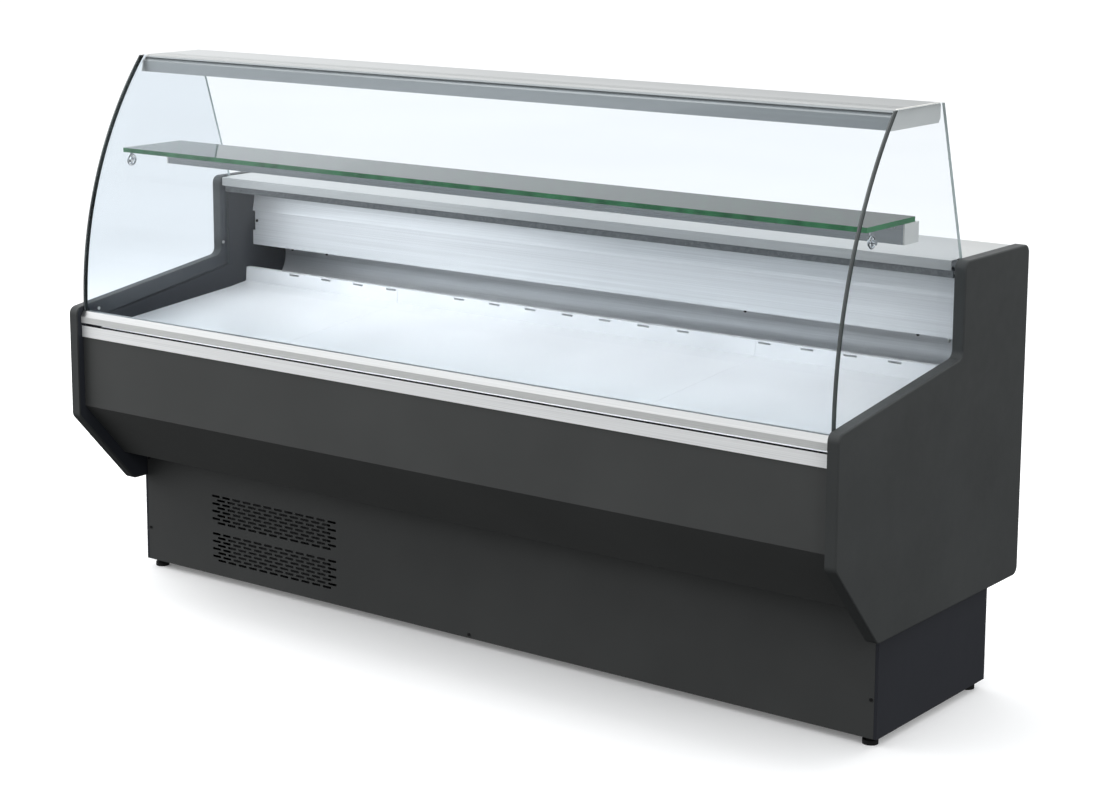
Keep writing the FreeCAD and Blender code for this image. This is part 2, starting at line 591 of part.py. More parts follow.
GUIDE_R = dim("air_guide_radius", 62)
GUIDE_Z = DECK_REAR_Z + 48
PAN_HALF = CLEAR - 1                  # half length of the loose sheets inside the tub
GUIDE_BACK_Y = WALL_Y - 1
GUIDE_Y = GUIDE_BACK_Y - GUIDE_R
GUIDE_LOW = GUIDE_Z - GUIDE_R
guide_outer = rod("guide_outer", "X", (-PAN_HALF, GUIDE_Y, GUIDE_Z), PAN_HALF * 2, GUIDE_R)
guide_inner = rod("guide_inner", "X", (-CLEAR, GUIDE_Y, GUIDE_Z), CLEAR * 2, GUIDE_R - SHEET)
quadrant = box("guide_quadrant", -PAN_HALF, PAN_HALF, GUIDE_Y, GUIDE_BACK_Y, GUIDE_LOW, GUIDE_Z)
guide_bend = common("guide_bend", cut("guide_tube", guide_outer, [guide_inner]), quadrant)
guide_back = box("guide_back", -PAN_HALF, PAN_HALF, GUIDE_BACK_Y - SHEET, GUIDE_BACK_Y, GUIDE_Z,
                 GUIDE_Z + 60)
guide_foot = box("guide_foot", -PAN_HALF, PAN_HALF, GUIDE_Y - 12, GUIDE_Y, GUIDE_LOW, GUIDE_LOW + SHEET)
node(fuse("air_guide", [guide_bend, guide_back, guide_foot]))
PORT_X = -dim("cable_port_x", 967)
PORT_Z = dim("cable_port_height", 851)
port = rod("port_body", "Y", (PORT_X, WALL_Y - 4, PORT_Z), 3.8, 14)
node(cut("cable_port", port, [rod("port_bore", "Y", (PORT_X, WALL_Y - 6, PORT_Z), 10, 10)]))

# ---------------------------------------------------------------- deck pans
DECK_FRONT_Y = GLASS_Y + 17.5
BEND_Y = DECK_REAR_Y - 51
BEND_Z = DECK_REAR_Z - 7
DECK_T = dim("deck_sheet", 1.5)
UPSTAND_Z = DECK_REAR_Z + UPSTAND
deck_profile = [
    (DECK_FRONT_Y, DECK_FRONT_Z), (BEND_Y, BEND_Z), (DECK_REAR_Y, DECK_REAR_Z),
    (DECK_REAR_Y + 3, UPSTAND_Z), (DECK_REAR_Y + 18, UPSTAND_Z), (DECK_REAR_Y + 18, UPSTAND_Z - DECK_T),
    (DECK_REAR_Y + 4.5, UPSTAND_Z - DECK_T), (DECK_REAR_Y + 1.6, DECK_REAR_Z - 1.4),
    (BEND_Y, BEND_Z - DECK_T), (DECK_FRONT_Y, DECK_FRONT_Z - DECK_T)]
AIR_PITCH = dim("air_slot_pitch", 103.8)
AIR_SLOT = dim("air_slot_length", 32)
AIR_SLOT_R = dim("air_slot_radius", 2.2)
pans = {"left": (-PAN_HALF, -(SEAM_X + GAP), -8, 5), "middle": (-(SEAM_X - GAP), SEAM_X - GAP, -3, 7),
        "right": (SEAM_X + GAP, PAN_HALF, 4, 5)}
for place, (x0, x1, first, count) in pans.items():
    pan = prism(f"deck_pan_{place}", "YZ", deck_profile, x0, x1 - x0)
    first_slot = (AIR_PITCH * first, UPSTAND_Z - 5, AIR_SLOT, AIR_SLOT_R)
    slot_field(pan, f"air_{place}", "XZ", -(DECK_REAR_Y + 3), first_slot, 10,
               [("H_Axis", AIR_PITCH, count)])
    node(pan)
support_outline = [
    (DECK_REAR_Y - 24, BEND_Z + 1.4), (DECK_REAR_Y - 2, BEND_Z + 4.4), (DECK_REAR_Y - 2, BEND_Z - 26),
    (DECK_REAR_Y - 4, BEND_Z - 26), (DECK_REAR_Y - 4, BEND_Z + 2.1), (DECK_REAR_Y - 24, BEND_Z - 0.6)]
node(prism("deck_support", "YZ", support_outline, -PAN_HALF, PAN_HALF * 2))

# ---------------------------------------------------------------- evaporator and its fans
COIL_Y = dim("evaporator_front", 30)
COIL_Z = FLOOR_Z + 12
COIL_HALF = dim("evaporator_half_length", 640)
coil_parts = [box("fin_block", -COIL_HALF, COIL_HALF, COIL_Y, COIL_Y + 95, COIL_Z, COIL_Z + 150)]
coil_parts += both(COIL_HALF + 5, COIL_HALF + 7, COIL_Y - 3, COIL_Y + 98, COIL_Z - 11.5, COIL_Z + 154,
                   "coil_plate")
for row in range(4):
    for column in range(3):
        coil_parts.append(rod(f"tube_{row}_{column}", "X",
                              (-COIL_HALF - 20, COIL_Y + 17 + column * 30, COIL_Z + 22 + row * 36),
                              COIL_HALF * 2 + 40, 5))
node(fuse("evaporator_coil", coil_parts))
FANS_X = dim("evaporator_fan_x", 330)
FAN_Y = COIL_Y - 52
FAN_Z = COIL_Z + 78
fan_plate = box("fan_plate_blank", -(COIL_HALF + 12), COIL_HALF + 12, FAN_Y, FAN_Y + 1.5, FLOOR_Z + 0.3,
                FAN_Z + 84)
node(cut("fan_plate", fan_plate,
         [rod("fan_hole_r", "Y", (FANS_X, FAN_Y - 5, FAN_Z), 12, FAN_R + 4),
          rod("fan_hole_l", "Y", (-FANS_X, FAN_Y - 5, FAN_Z), 12, FAN_R + 4)]))


def fan_rotor(name, x, y, z, radius, blades):
    """Hub with pitched blades, turning on a shaft along Y."""
    parts = [rod(f"{name}_hub", "Y", (x, y, z), 18, radius * 0.3)]
    for index in range(blades):
        blade = doc.addObject("Part::Box", f"{name}_blade_{index}")
        set_sizes(blade, Length=radius * 0.76, Width=2, Height=radius * 0.52)
        angle = 360.0 * index / blades
        pitch = Rotation(Vector(1, 0, 0), 28)
        turn = Rotation(Vector(0, 1, 0), angle)
        root = Vector(radius.value * 0.24, 0, 0)
        corner = pitch.multVec(Vector(0, -1, -radius.value * 0.26))
        offset = turn.multVec(root + corner)
        blade.Placement = Placement(Vector(), turn.multiply(pitch))
        move_to(blade, size(x) + offset.x, size(y) + 9 + offset.y, size(z) + offset.z)
        parts.append(blade)
    blank = fuse(f"{name}_blank", parts)
    bore = rod(f"{name}_bore", "Y", (x, size(y) - 2, z), 22, 4 + RUN_FIT)
    return cut(name, blank, [bore])


motor_solids = []
for side, sign in (("right", 1), ("left", -1)):
    x = FANS_X * sign
    node(fan_rotor(f"evap_fan_{side}", x, FAN_Y - 20, FAN_Z, FAN_R, 5))
    motor_parts = [rod(f"motor_{side}", "Y", (x, FAN_Y - 64, FAN_Z), 42, 27),
                   rod(f"shaft_{side}", "Y", (x, FAN_Y - 30, FAN_Z), 22.5, 4)]
    for index, (dx, dz) in enumerate(((1, 1), (1, -1), (-1, 1), (-1, -1))):
        x0 = x + dx * 58 - 2.5
        z0 = FAN_Z + dz * 40 - 2.5
        motor_parts.append(box(f"leg_{side}_{index}", x0, x0 + 5, FAN_Y - 44, FAN_Y - 0.2, z0, z0 + 5))
        low = x0 if dx < 0 else x
        high = x0 + 5 if dx > 0 else x
        motor_parts.append(box(f"arm_{side}_{index}", low, high, FAN_Y - 49, FAN_Y - 44, z0, z0 + 5))
        bottom = z0 if dz < 0 else FAN_Z
        crown = z0 + 5 if dz > 0 else FAN_Z
        motor_parts.append(box(f"stay_{side}_{index}", x - 2.5, x + 2.5, FAN_Y - 49, FAN_Y - 44, bottom,
                               crown))
    motor_solids.append(fuse(f"motor_assembly_{side}", motor_parts))
node(group("evap_motors", motor_solids))

# ---------------------------------------------------------------- condensing unit behind the front grille
UNIT_X = GRILLE_X + SLOT_PITCH * 5.5
UNIT_Z = dim("condenser_height", 135)
COND_Y = PLINTH_FRONT + 16
COND_HALF = dim("condenser_half_width", 155)
cond_parts = [box("cond_block", UNIT_X - COND_HALF, UNIT_X + COND_HALF, COND_Y, COND_Y + 44,
                  UNIT_Z - 80, UNIT_Z + 80)]
for row in range(6):
    tube_start = (UNIT_X - COND_HALF - 14, COND_Y + 22, UNIT_Z - 66 + row * 26)
    cond_parts.append(rod(f"cond_tube_{row}", "X", tube_start, COND_HALF * 2 + 28, 4))
cond_parts.append(box("cond_foot", UNIT_X - COND_HALF, UNIT_X + COND_HALF, COND_Y + 10, COND_Y + 34,
                      TRAY_Z + 2.4, UNIT_Z - 79))
node(fuse("condenser_coil", cond_parts))
SHROUD_Y = COND_Y + 46
shroud_blank = box("shroud_blank", UNIT_X - COND_HALF, UNIT_X + COND_HALF, SHROUD_Y, SHROUD_Y + 38,
                   TRAY_Z + 2.4, UNIT_Z + 84)
shroud_hollow = box("shroud_hollow", UNIT_X - COND_HALF + 2, UNIT_X + COND_HALF - 2, SHROUD_Y - 1,
                    SHROUD_Y + 36, TRAY_Z + 6, UNIT_Z + 82)
shroud_hole = rod("shroud_hole", "Y", (UNIT_X, SHROUD_Y + 30, UNIT_Z), 12, COND_FAN_R + 4)
node(cut("condenser_shroud", shroud_blank, [shroud_hollow, shroud_hole]))
node(fan_rotor("condenser_fan", UNIT_X, SHROUD_Y + 14, UNIT_Z, COND_FAN_R, 4))
cond_motor = [rod("cond_motor_can", "Y", (UNIT_X, SHROUD_Y + 58, UNIT_Z), 55, 34),
              rod("cond_motor_shaft", "Y", (UNIT_X, SHROUD_Y + 14, UNIT_Z), 50, 4),
              box("cond_motor_post", UNIT_X - 20, UNIT_X + 20, SHROUD_Y + 70, SHROUD_Y + 73, TRAY_Z + 2.4,
                  UNIT_Z)]
node(fuse("condenser_motor", cond_motor))
COMP_X = UNIT_X + 235
COMP_Y = dim("compressor_y", 90)
COMP_R = dim("compressor_radius", 72)
comp_parts = [rod("comp_can", "Z", (COMP_X, COMP_Y, TRAY_Z + 52), 90, COMP_R),
              dome("comp_top", (COMP_X, COMP_Y, TRAY_Z + 142), 42, COMP_R),
              dome("comp_bottom", (COMP_X, COMP_Y, TRAY_Z + 52), 34, COMP_R),
              rod("comp_seam", "Z", (COMP_X, COMP_Y, TRAY_Z + 104), 6, COMP_R + 3),
              box("comp_base", COMP_X - 86, COMP_X + 86, COMP_Y - 60, COMP_Y + 60, TRAY_Z + 14,
                  TRAY_Z + 17.5),
              box("comp_pan", COMP_X - 40, COMP_X + 40, COMP_Y - 40, COMP_Y + 40, TRAY_Z + 14,
                  TRAY_Z + 30)]
for index, (dx, dy) in enumerate(((1, 1), (1, -1), (-1, 1), (-1, -1))):
    comp_parts.append(rod(f"comp_mount_{index}", "Z", (COMP_X + dx * 74, COMP_Y + dy * 48, TRAY_Z + 2.4),
                          13, 11))
comp_parts += [box("terminal_case", COMP_X - 30, COMP_X + 30, COMP_Y - 100, COMP_Y - 60, TRAY_Z + 66,
                   TRAY_Z + 130),
               box("terminal_lip", COMP_X - 33, COMP_X + 33, COMP_Y - 104, COMP_Y - 100, TRAY_Z + 63,
                   TRAY_Z + 133)]
node(fuse("compressor", comp_parts))


def pipe_run(name, points, radius):
    """Straight runs along the axes, with a ball at each bend."""
    parts = []
    for index, (first, last) in enumerate(zip(points, points[1:])):
        lengths = [size(b) - a for a, b in zip(first, last)]
        along = max(range(3), key=lambda item: abs(lengths[item].value))
        forward = lengths[along].value > 0
        start = first if forward else last
        length = lengths[along] if forward else -lengths[along]
        parts.append(rod(f"{name}_{index}", "XYZ"[along], start, length, radius))
        if index:
            parts.append(ball(f"{name}_bend_{index}", first, radius))
    return fuse(name, parts)


FILTER_Y = COMP_Y + 120
RISER_X = COMP_X + 110                # the suction pipe's upright run
SUCTION_Z = TUB_FLOOR - 22
suction_points = [
    (COMP_X + COMP_R + 0.4, COMP_Y, TRAY_Z + 80), (RISER_X, COMP_Y, TRAY_Z + 80),
    (RISER_X, COMP_Y, SUCTION_Z), (RISER_X, COMP_Y + 90, SUCTION_Z),
    (RISER_X + 150, COMP_Y + 90, SUCTION_Z), (RISER_X + 150, COMP_Y + 90, TUB_FLOOR - 0.5)]
suction = pipe_run("suction_pipe", suction_points, 6)
LIQUID_Z = UNIT_Z + 12
COND_END_X = UNIT_X - COND_HALF - 14.1
liquid_points = [
    (COND_END_X, COND_Y + 22, LIQUID_Z), (COND_END_X - 25.9, COND_Y + 22, LIQUID_Z),
    (COND_END_X - 25.9, FILTER_Y, LIQUID_Z), (COMP_X + 240, FILTER_Y, LIQUID_Z),
    (COMP_X + 240, FILTER_Y, TUB_FLOOR - 0.5)]
liquid = pipe_run("liquid_pipe", liquid_points, 4)
drier = rod("filter_drier", "X", (UNIT_X + 10, FILTER_Y, LIQUID_Z), 120, 12)
node(group("pipework", [suction, fuse("liquid_line", [liquid, drier])]))

DRAIN_Z = dim("drain_outlet_height", 120)
DRAIN_BEND = (DRAIN_X, DRAIN_Y, DRAIN_Z)
DRAIN_RUN_R = dim("drain_run_radius", 18)
SPIGOT_R = dim("drain_spigot_radius", 16)
DRAIN_BORE_R = dim("drain_bore_radius", 13)
drain_parts = [rod("drain_flange", "Z", (DRAIN_X, DRAIN_Y, FLOOR_Z + 0.1), 2, 28),
               rod("drain_neck", "Z", DRAIN_BEND, FLOOR_Z + 1 - DRAIN_Z, SPIGOT_R),
               ball("drain_elbow", DRAIN_BEND, DRAIN_RUN_R),
               rod("drain_run", "Y", DRAIN_BEND, PLINTH_REAR + 2 - DRAIN_Y, DRAIN_RUN_R),
               rod("drain_spigot", "Y", (DRAIN_X, PLINTH_REAR - 8, DRAIN_Z), 38, SPIGOT_R)]
drain_bore = [rod("drain_bore_v", "Z", DRAIN_BEND, FLOOR_Z + 10 - DRAIN_Z, DRAIN_BORE_R),
              rod("drain_bore_h", "Y", DRAIN_BEND, PLINTH_REAR - DRAIN_Y + 40, DRAIN_BORE_R)]
node(cut("drain", fuse("drain_tube", drain_parts), drain_bore))

# ---------------------------------------------------------------- canopy
CAN_LOW = TOP - CANOPY_HIGH
CAN_HALF = IN - 10.5
CAN_Y = GLASS_TOP_Y + 0.6             # front edge of the canopy, just behind the top of the front glass
CAN_REAR = STEP_Y - 66
canopy_outline = [
    (CAN_Y, CAN_LOW), (CAN_Y + 5, TOP - 15), (CAN_Y + 9.5, TOP - 12.5), (CAN_Y + 12, TOP - 6.5),
    (CAN_Y + 18, TOP - 5), (CAN_Y + 22, TOP), (CAN_REAR - 5, TOP), (CAN_REAR, TOP - 5),
    (CAN_REAR, CAN_LOW + 9), (CAN_REAR - 7, CAN_LOW)]
canopy_outer = prism("canopy_section", "YZ", canopy_outline, -CAN_HALF, CAN_HALF * 2)
hollow_outline = [
    (CAN_Y + 3.5, CAN_LOW + 2), (CAN_Y + 7.5, TOP - 17), (CAN_Y + 24, TOP - 2.5),
    (CAN_REAR - 6, TOP - 2.5), (CAN_REAR - 2.5, TOP - 6), (CAN_REAR - 2.5, CAN_LOW + 10),
    (CAN_REAR - 8, CAN_LOW + 2)]
canopy_hollow = prism("canopy_hollow", "YZ", hollow_outline, -CAN_HALF - 1, CAN_HALF * 2 + 2)
canopy_grooves = []
for index in range(3):
    groove_y = CAN_Y + 37 + index * 12
    canopy_grooves.append(box(f"groove_{index}", -CAN_HALF - 1, CAN_HALF + 1, groove_y, groove_y + 1.6,
                              TOP - 0.8, TOP + 1))
LIGHT_HALF = CAN_HALF - 30
LIGHT_Y = CAN_Y + 53
CANOPY_LIGHT = dim("canopy_light_width", 44)
canopy_channel = box("canopy_channel", -LIGHT_HALF - 0.2, LIGHT_HALF + 0.2, LIGHT_Y - 0.2,
                     LIGHT_Y + CANOPY_LIGHT + 0.2, CAN_LOW - 1, CAN_LOW + 3)
node(cut("canopy", canopy_outer, [canopy_hollow, canopy_channel, *canopy_grooves]))
cap_outline = [
    (CAN_Y - 0.5, CAN_LOW - 0.5), (CAN_Y + 4.5, TOP - 14.5), (CAN_Y + 21, TOP), (CAN_REAR - 4.5, TOP),
    (CAN_REAR + 0.5, TOP - 4.5), (CAN_REAR + 0.5, CAN_LOW + 8.5), (CAN_REAR - 6.5, CAN_LOW - 0.5)]
CAP = dim("end_cap_thickness", 3)
node(group("canopy_caps", [prism("canopy_cap_right", "YZ", cap_outline, CAN_HALF + 0.1, CAP),
                           prism("canopy_cap_left", "YZ", cap_outline, -CAN_HALF - 0.1 - CAP, CAP)]))
canopy_light = box("canopy_light", -LIGHT_HALF, LIGHT_HALF, LIGHT_Y, LIGHT_Y + CANOPY_LIGHT,
                   CAN_LOW + 0.2, CAN_LOW + 6)

# ---------------------------------------------------------------- upper shelf
BEAM_HALF = CLEAR - 7
BEAM_Y = SHELF_Y + 142                # front face of the beam under the shelf's rear half
BEAM_DEPTH = dim("shelf_beam_depth", 55)
BEAM_LOW = SHELF_Z - 40.5
beam_outer = box("beam_outer", -BEAM_HALF, BEAM_HALF, BEAM_Y, BEAM_Y + BEAM_DEPTH, BEAM_LOW,
                 SHELF_Z - 0.3)
beam_hollow = box("beam_hollow", -BEAM_HALF - 1, BEAM_HALF + 1, BEAM_Y + 2, BEAM_Y + BEAM_DEPTH - 2,
                  BEAM_LOW + 2, SHELF_Z - 2.3)
beam_groove = box("beam_groove", -BEAM_HALF - 1, BEAM_HALF + 1, BEAM_Y - 1, BEAM_Y + 0.8,
                  SHELF_Z - 14, SHELF_Z - 12.5)
BEAM_LIGHT_Y = BEAM_Y + 13
BEAM_LIGHT = dim("shelf_light_width", 28)
beam_channel = box("beam_channel", -LIGHT_HALF - 0.2, LIGHT_HALF + 0.2, BEAM_LIGHT_Y - 0.2,
                   BEAM_LIGHT_Y + BEAM_LIGHT + 0.2, BEAM_LOW - 1, BEAM_LOW + 3)
node(cut("shelf_beam", beam_outer, [beam_hollow, beam_groove, beam_channel]))
node(group("beam_caps", both(BEAM_HALF + 0.1, BEAM_HALF + 0.1 + CAP, BEAM_Y - 0.3, BEAM_Y + BEAM_DEPTH + 0.3,
                             BEAM_LOW - 0.3, SHELF_Z - 0.3, "beam_cap")))
shelf_light = box("shelf_light", -LIGHT_HALF, LIGHT_HALF, BEAM_LIGHT_Y, BEAM_LIGHT_Y + BEAM_LIGHT,
                  BEAM_LOW + 0.2, BEAM_LOW + 6)
node(group("light_strips", [canopy_light, shelf_light]))
CLAMP_X = CLEAR - 8.5
CLAMP_Y = SHELF_Y + 24
clamps = []
for side, sign in (("r", 1), ("l", -1)):
    post = rod(f"clamp_post_{side}", "Z", (CLAMP_X * sign, CLAMP_Y, SHELF_Z - 36), 35.7, 8)
    pad_start = CLAMP_X if sign > 0 else -(CLEAR + 1.4)
    pad = rod(f"clamp_pad_{side}", "X", (pad_start, CLAMP_Y, SHELF_Z - 16), CLEAR + 1.4 - CLAMP_X, 6)
    clamps.append(fuse(f"clamp_{side}", [post, pad]))
node(group("shelf_brackets", clamps))
SHELF_HALF = CLEAR - 5
shelf = prism("shelf_glass", "XY",
              [(-SHELF_HALF, SHELF_Y), (SHELF_HALF, SHELF_Y), (SHELF_HALF, SHELF_Y + SHELF_DEPTH),
               (-SHELF_HALF, SHELF_Y + SHELF_DEPTH)],
              SHELF_Z, SHELF_THICK)
round_edges(shelf, "shelf_corners", 2,
            lambda edge: abs(edge.Vertexes[0].Point.z - edge.Vertexes[-1].Point.z) > 1)
node(shelf)

# ---------------------------------------------------------------- controls on the service side
CTRL_X = -dim("control_x", 640)
CTRL_Z = dim("control_height", 820)
CTRL_Y = BODY_REAR + 18
box_blank = box("control_blank", CTRL_X - 130, CTRL_X + 130, BODY_REAR + 0.2, CTRL_Y, CTRL_Z - 40,
                CTRL_Z + 40)
box_holes = [box("display_hole", CTRL_X - 105, CTRL_X - 35, CTRL_Y - 14, CTRL_Y + 1, CTRL_Z - 15,
                 CTRL_Z + 15)]
ROCKER_XS = (25, 75)
for index, x in enumerate(ROCKER_XS):
    box_holes.append(box(f"rocker_hole_{index}", CTRL_X + x - 10.2, CTRL_X + x + 10.2, CTRL_Y - 15.5,
                         CTRL_Y + 1, CTRL_Z - 12, CTRL_Z + 12))
    box_holes.append(rod(f"trunnion_hole_{index}", "X", (CTRL_X + x - 12.2, CTRL_Y - 3, CTRL_Z), 24.4,
                         1.5 + RUN_FIT))
node(cut("control_box", box_blank, box_holes))
bezel_blank = box("bezel_blank", CTRL_X - 104.8, CTRL_X - 35.2, CTRL_Y - 13.8, CTRL_Y + 1.5,
                  CTRL_Z - 14.8, CTRL_Z + 14.8)
bezel_holes = [box("screen_hole", CTRL_X - 100, CTRL_X - 66, CTRL_Y + 0.8, CTRL_Y + 2, CTRL_Z - 10,
                   CTRL_Z + 10)]
BUTTON_X = {"up": CTRL_X - 54, "down": CTRL_X - 44}
for name, x in BUTTON_X.items():
    bezel_holes.append(box(f"{name}_hole", x - 4.2, x + 4.2, CTRL_Y - 3, CTRL_Y + 2, CTRL_Z - 5.2,
                           CTRL_Z + 5.2))
    node(box(f"button_{name}", x - 4, x + 4, CTRL_Y - 1.6, CTRL_Y + 2.4, CTRL_Z - 5, CTRL_Z + 5))
node(cut("thermostat", bezel_blank, bezel_holes))
for index, x in enumerate(ROCKER_XS):
    blade = prism(f"rocker_blade_{index}", "YZ",
                  [(CTRL_Y - 9, CTRL_Z - 6), (CTRL_Y + 3, CTRL_Z - 10.5), (CTRL_Y + 0.2, CTRL_Z),
                   (CTRL_Y + 3, CTRL_Z + 10.5), (CTRL_Y - 9, CTRL_Z + 6)],
                  CTRL_X + x - 9.7, 19.4)
    trunnion = rod(f"trunnion_{index}", "X", (CTRL_X + x - 11.9, CTRL_Y - 3, CTRL_Z), 23.8, 1.5)
    node(fuse(f"rocker_{index + 1}", [blade, trunnion]))
GLAND_X = dim("gland_x", 880)
GLAND_Z = dim("gland_height", 60)
gland_blank = fuse("gland_blank",
                   [rod("gland_nut", "Y", (GLAND_X, PLINTH_REAR - 12, GLAND_Z), 10.4, 14),
                    rod("gland_nose", "Y", (GLAND_X, PLINTH_REAR - 12, GLAND_Z), 24, 11)])

# ---------------------------------------------------------------- screws
screw_solids = []


def screw(name, x, y, z, axis="Y", sign=-1, radius=3.6):
    """A pan head standing proud of a face."""
    start = [size(x), size(y), size(z)]
    along = "XYZ".index(axis)
    if sign < 0:
        start[along] = start[along] - 1.8
    screw_solids.append(rod(name, axis, tuple(start), 1.8, radius))


SCREW_X = PLINTH_HALF - 14
SCREW_LOW = dim("plinth_screw_low", 97)
SCREW_HIGH = PLINTH_TOP - 22
plinth_screws = ((-SCREW_X, SCREW_LOW), (SCREW_X, SCREW_LOW), (-5, PLINTH_LOW + 8),
                 (-SCREW_X, SCREW_HIGH), (SCREW_X, SCREW_HIGH))
for index, (x, z) in enumerate(plinth_screws):
    screw(f"plinth_screw_{index}", x, PLINTH_FRONT, z)
for side, sign in (("r", 1), ("l", -1)):
    screw(f"pane_screw_front_{side}", (IN - 6.5) * sign, GLASS_Y + 42, RAIL_Z, "X", -sign)
    screw(f"pane_screw_rear_{side}", (IN - 6.5) * sign, STEP_Y + 2, 760, "X", -sign)
    screw(f"back_screw_{side}", (CLEAR - 15) * sign, BACK_Y, BACK_LOW + 60)
for index, x in enumerate((-966, -850, 381, 806)):
    screw(f"guide_screw_{index}", x, WALL_Y - 1 - SHEET, GUIDE_Z + 14)
node(group("screws", screw_solids))

gland_hole = rod("gland_panel_hole", "Y", (GLAND_X, PLINTH_REAR - 20, GLAND_Z), 40, 11.2)
drain_panel_hole = rod("drain_panel_hole", "Y", (DRAIN_X, PLINTH_REAR - 20, DRAIN_Z), 40, DRAIN_RUN_R + 1.5)
node(cut("plinth_rear", plinth_rear, [gland_hole, drain_panel_hole]))
node(cut("cable_gland", gland_blank, [rod("gland_bore", "Y", (GLAND_X, PLINTH_REAR - 13, GLAND_Z), 30, 5)]))

# ---------------------------------------------------------------- recompute, check and export
doc.recompute()
for obj in doc.Objects:
    if "Invalid" in obj.State or "Error" in obj.State:
        raise RuntimeError(f"{obj.Name} did not recompute: {obj.State}")
os.makedirs("parts", exist_ok=True)
for part in nodes:
    shape = part.Shape
    if shape.isNull() or not shape.isValid() or not shape.Solids:
        raise RuntimeError(f"{part.Label} has no valid solid")
    shape.exportStep(f"parts/{part.Label}.step")
print(f"{len(nodes)} nodes exported")
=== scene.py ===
import json
import math

import bmesh
import bpy
from mathutils import Matrix, Vector


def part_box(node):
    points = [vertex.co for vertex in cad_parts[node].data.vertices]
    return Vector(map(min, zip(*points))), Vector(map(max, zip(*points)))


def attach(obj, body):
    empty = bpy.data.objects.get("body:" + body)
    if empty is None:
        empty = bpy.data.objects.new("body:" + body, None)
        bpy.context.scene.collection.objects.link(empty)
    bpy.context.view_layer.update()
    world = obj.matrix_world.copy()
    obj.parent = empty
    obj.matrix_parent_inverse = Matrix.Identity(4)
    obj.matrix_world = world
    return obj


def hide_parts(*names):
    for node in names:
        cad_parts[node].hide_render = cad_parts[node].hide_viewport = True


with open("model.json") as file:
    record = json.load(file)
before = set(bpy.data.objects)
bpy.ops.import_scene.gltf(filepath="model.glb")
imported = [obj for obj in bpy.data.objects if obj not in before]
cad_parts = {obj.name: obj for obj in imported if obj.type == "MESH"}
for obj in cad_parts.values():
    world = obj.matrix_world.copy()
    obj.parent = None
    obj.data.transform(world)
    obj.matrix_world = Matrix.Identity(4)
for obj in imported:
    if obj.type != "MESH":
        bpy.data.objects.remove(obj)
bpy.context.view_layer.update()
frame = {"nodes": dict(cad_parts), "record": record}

# Refrigerated deli case with a tilting curved front glass: finishes, fine pieces, light and camera.
# Lengths are in metres, in the shared frame: X along the counter, Y towards the service side, Z up.

scene = bpy.context.scene
nodes = frame["nodes"]
node_slot = {part["node"]: part["material_slot"] for part in frame["record"]["subparts"]}


# ---------------------------------------------------------------- node tree helpers
NOISE_LOW = 0.3                       # nearly all of a noise lies between these two
NOISE_HIGH = 0.7
MIX_DARK, MIX_LIGHT, MIX_RESULT = 6, 7, 2      # colour sockets of a Mix node
COAT_ROUGHNESS = 0.2


class Tree:
    """A material's node tree with short calls for adding and linking nodes."""

    def __init__(self, name):
        self.material = bpy.data.materials.new(name)
        self.material.use_nodes = True
        self.nodes = self.material.node_tree.nodes
        self.links = self.material.node_tree.links
        self.nodes.clear()
        self.output = self.nodes.new("ShaderNodeOutputMaterial")

    def add(self, kind, **settings):
        """Adds a node. Keys in capitals set sockets by name, with underscores for spaces."""
        made = self.nodes.new(kind)
        for key, value in settings.items():
            if key[0].isupper():
                made.inputs[key.replace("_", " ")].default_value = value
            else:
                setattr(made, key, value)
        return made

    def link(self, source, target):
        self.links.new(source, target)

    def noise(self, stretch=(1, 1, 1), scale=1.0, detail=3.0):
        """Noise in object space, in metres, squeezed by the stretch on each axis."""
        coords = self.add("ShaderNodeTexCoord")
        mapping = self.add("ShaderNodeMapping", Scale=stretch)
        texture = self.add("ShaderNodeTexNoise", Scale=scale, Detail=detail)
        self.link(coords.outputs["Object"], mapping.inputs["Vector"])
        self.link(mapping.outputs["Vector"], texture.inputs["Vector"])
        return texture.outputs["Fac"]

    def cells(self, scale, **settings):
        """Voronoi cells in object space."""
        coords = self.add("ShaderNodeTexCoord")
        texture = self.add("ShaderNodeTexVoronoi", Scale=scale, **settings)
        self.link(coords.outputs["Object"], texture.inputs["Vector"])
        return texture

    def spread(self, source, low, high):
        """Maps the middle of a noise to a range."""
        ranged = self.add("ShaderNodeMapRange", From_Min=NOISE_LOW, From_Max=NOISE_HIGH,
                          To_Min=low, To_Max=high)
        self.link(source, ranged.inputs["Value"])
        return ranged.outputs["Result"]

    def shade(self, source, dark, light):
        """Blends two colours by a noise."""
        mix = self.add("ShaderNodeMix", data_type="RGBA")
        mix.inputs[MIX_DARK].default_value = (*dark, 1)
        mix.inputs[MIX_LIGHT].default_value = (*light, 1)
        self.link(self.spread(source, 0, 1), mix.inputs["Factor"])
        return mix.outputs[MIX_RESULT]

    def cloudy(self, source, colour, shades):
        """A colour that a noise moves between two shades of itself."""
        darker, lighter = shades
        return self.shade(source, scaled(colour, darker), scaled(colour, lighter))

    def bump(self, height, strength, distance):
        """The normal of a surface that a height moves by up to a distance."""
        node = self.add("ShaderNodeBump", Strength=strength, Distance=distance)
        self.link(height, node.inputs["Height"])
        return node.outputs["Normal"]

    def surface(self, shader):
        """Ends the tree with a shader and hands over the material."""
        self.link(shader, self.output.inputs["Surface"])
        return self.material


def scaled(colour, factor):
    """A lighter or darker colour."""
    return tuple(min(1.0, channel * factor) for channel in colour)


